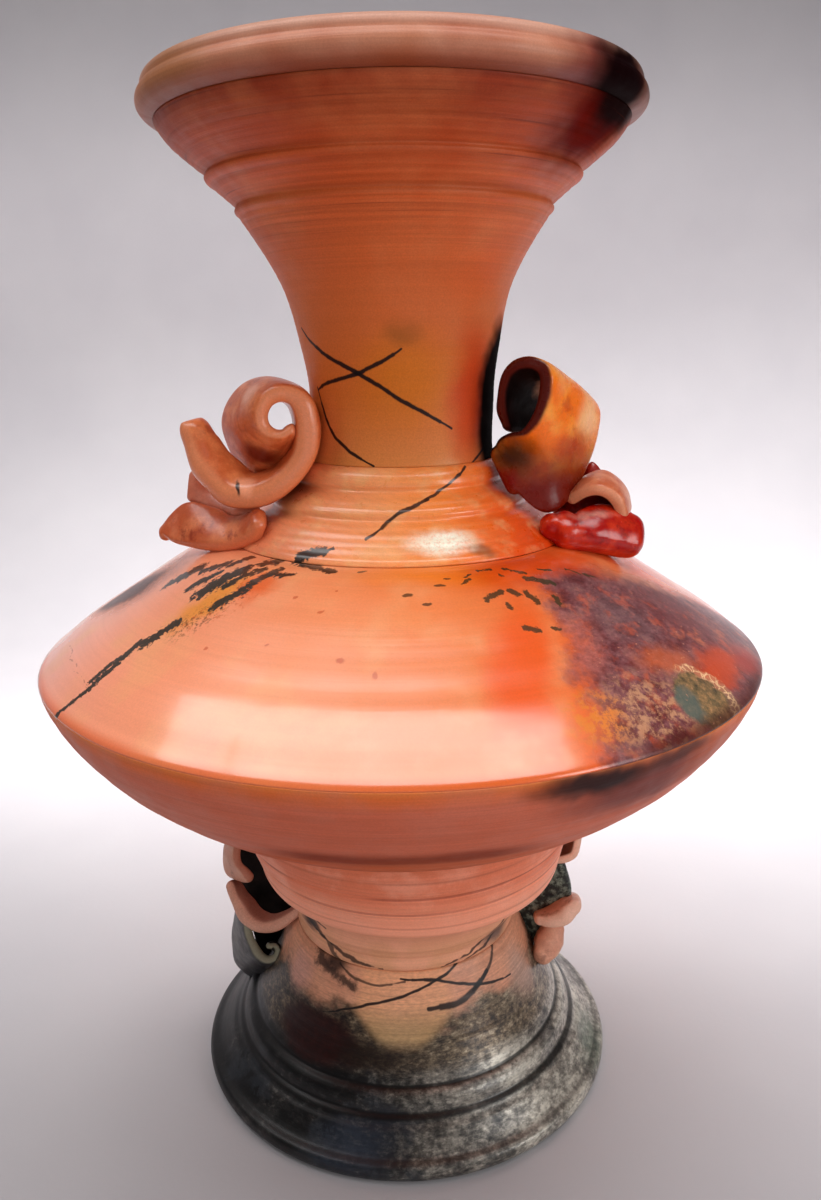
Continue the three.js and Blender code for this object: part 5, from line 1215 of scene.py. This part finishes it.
# ------------------------------------------------------------------ stage
def stage_sweep():
    prof = [(-1.4, 0.0), (0.42, 0.0)]
    R = 0.35
    for k in range(1, 17):
        a = math.pi / 2 * k / 16
        prof.append((0.42 + R * math.sin(a), R * (1 - math.cos(a))))
    prof.append((0.42 + R, 2.6))
    xs = (-2.4, 2.4)
    verts = [(x, y, z) for y, z in prof for x in xs]
    faces = [(2 * i, 2 * i + 1, 2 * i + 3, 2 * i + 2) for i in range(len(prof) - 1)]
    ob = fresh_object("paper_sweep", verts, faces)
    ob.data.materials.append(MATERIAL["paper"])
    return ob


stage_sweep()


def area_light(name, loc, target, size, power, colour=(1, 1, 1), shape="RECTANGLE"):
    li = bpy.data.lights.new(name, "AREA")
    li.shape = shape
    li.size, li.size_y = size
    li.energy = power
    li.color = colour
    ob = bpy.data.objects.new(name, li)
    bpy.context.scene.collection.objects.link(ob)
    ob.location = loc
    ob.rotation_euler = (Vector(target) - Vector(loc)).to_track_quat("-Z", "Y").to_euler()
    return ob


bpy.context.scene.view_settings.view_transform = "Standard"
bpy.context.scene.view_settings.look = "None"


def lit(ob, glossy=True, spread=None, turn=0.0):
    ob.visible_glossy = glossy
    if spread is not None:
        ob.data.spread = math.radians(spread)
    ob.rotation_euler[2] += math.radians(turn)
    return ob


# one long softbox overhead in front, bent back at both ends, a strip over the paper behind, broad fills
lit(area_light("softbox_top", (0.07, -0.215, 1.0), (0.07, -0.215, 0.0), (0.46, 0.34), 2.35))
lit(area_light("softbox_mid", (-0.33, -0.150, 1.0), (-0.33, -0.150, 0.0), (0.42, 0.34), 1.95), turn=-17)
lit(area_light("softbox_left", (-0.68, 0.03, 1.0), (-0.68, 0.03, 0.0), (0.36, 0.36), 1.6), turn=-31)
lit(area_light("softbox_right", (0.41, -0.19, 1.0), (0.41, -0.19, 0.0), (0.28, 0.30), 1.3), turn=18)
lit(area_light("paper_strip", (0.12, 0.40, 0.62), (0.13, 0.32, 0.0), (1.2, 0.14), 3.3), glossy=False, spread=120)
lit(area_light("fill_front", (0.1, -1.3, 0.45), (0, 0, 0.2), (1.2, 0.9), 2.7), glossy=False)
lit(area_light("fill_low", (0.10, -1.1, 0.10), (0, 0, 0.09), (1.0, 0.24), 2.2), glossy=False)
lit(area_light("fill_left", (-1.0, -0.4, 0.5), (0, 0, 0.2), (0.6, 0.9), 1.6), glossy=False)
lit(area_light("fill_right", (0.72, -0.50, 0.42), (0.04, -0.04, 0.04), (0.36, 0.50), 2.6))
world = bpy.data.worlds.new("studio")
bpy.context.scene.world = world
world.use_nodes = True
world.node_tree.nodes["Background"].inputs["Color"].default_value = (0.95, 0.94, 1.0, 1)
world.node_tree.nodes["Background"].inputs["Strength"].default_value = 0.05


# ------------------------------------------------------------------ camera
def photo_camera():
    th, roll, yaw = math.radians(15.41), math.radians(-0.72), math.radians(0.08)
    right = Vector((math.cos(yaw), -math.sin(yaw), 0))
    ahead = Vector((math.sin(yaw), math.cos(yaw), 0))
    fwd = ahead * math.cos(th) - Vector((0, 0, math.sin(th)))
    up = ahead * math.sin(th) + Vector((0, 0, math.cos(th)))
    r2 = right * math.cos(roll) + up * math.sin(roll)
    u2 = up * math.cos(roll) - right * math.sin(roll)
    cam = bpy.data.cameras.new("camera")
    cam.sensor_fit = "HORIZONTAL"
    cam.sensor_width = 36.0
    cam.lens = 36.0 * 963.6 / 821.0
    cam.clip_start = 0.01
    cam.dof.use_dof = False
    ob = bpy.data.objects.new("camera", cam)
    bpy.context.scene.collection.objects.link(ob)
    m = Matrix.Identity(4)
    for i in range(3):
        m[i][0], m[i][1], m[i][2] = r2[i], u2[i], -fwd[i]
    m[0][3], m[1][3], m[2][3] = 0.003249, -0.342, 0.278046
    ob.matrix_world = m
    bpy.context.scene.camera = ob


photo_camera()
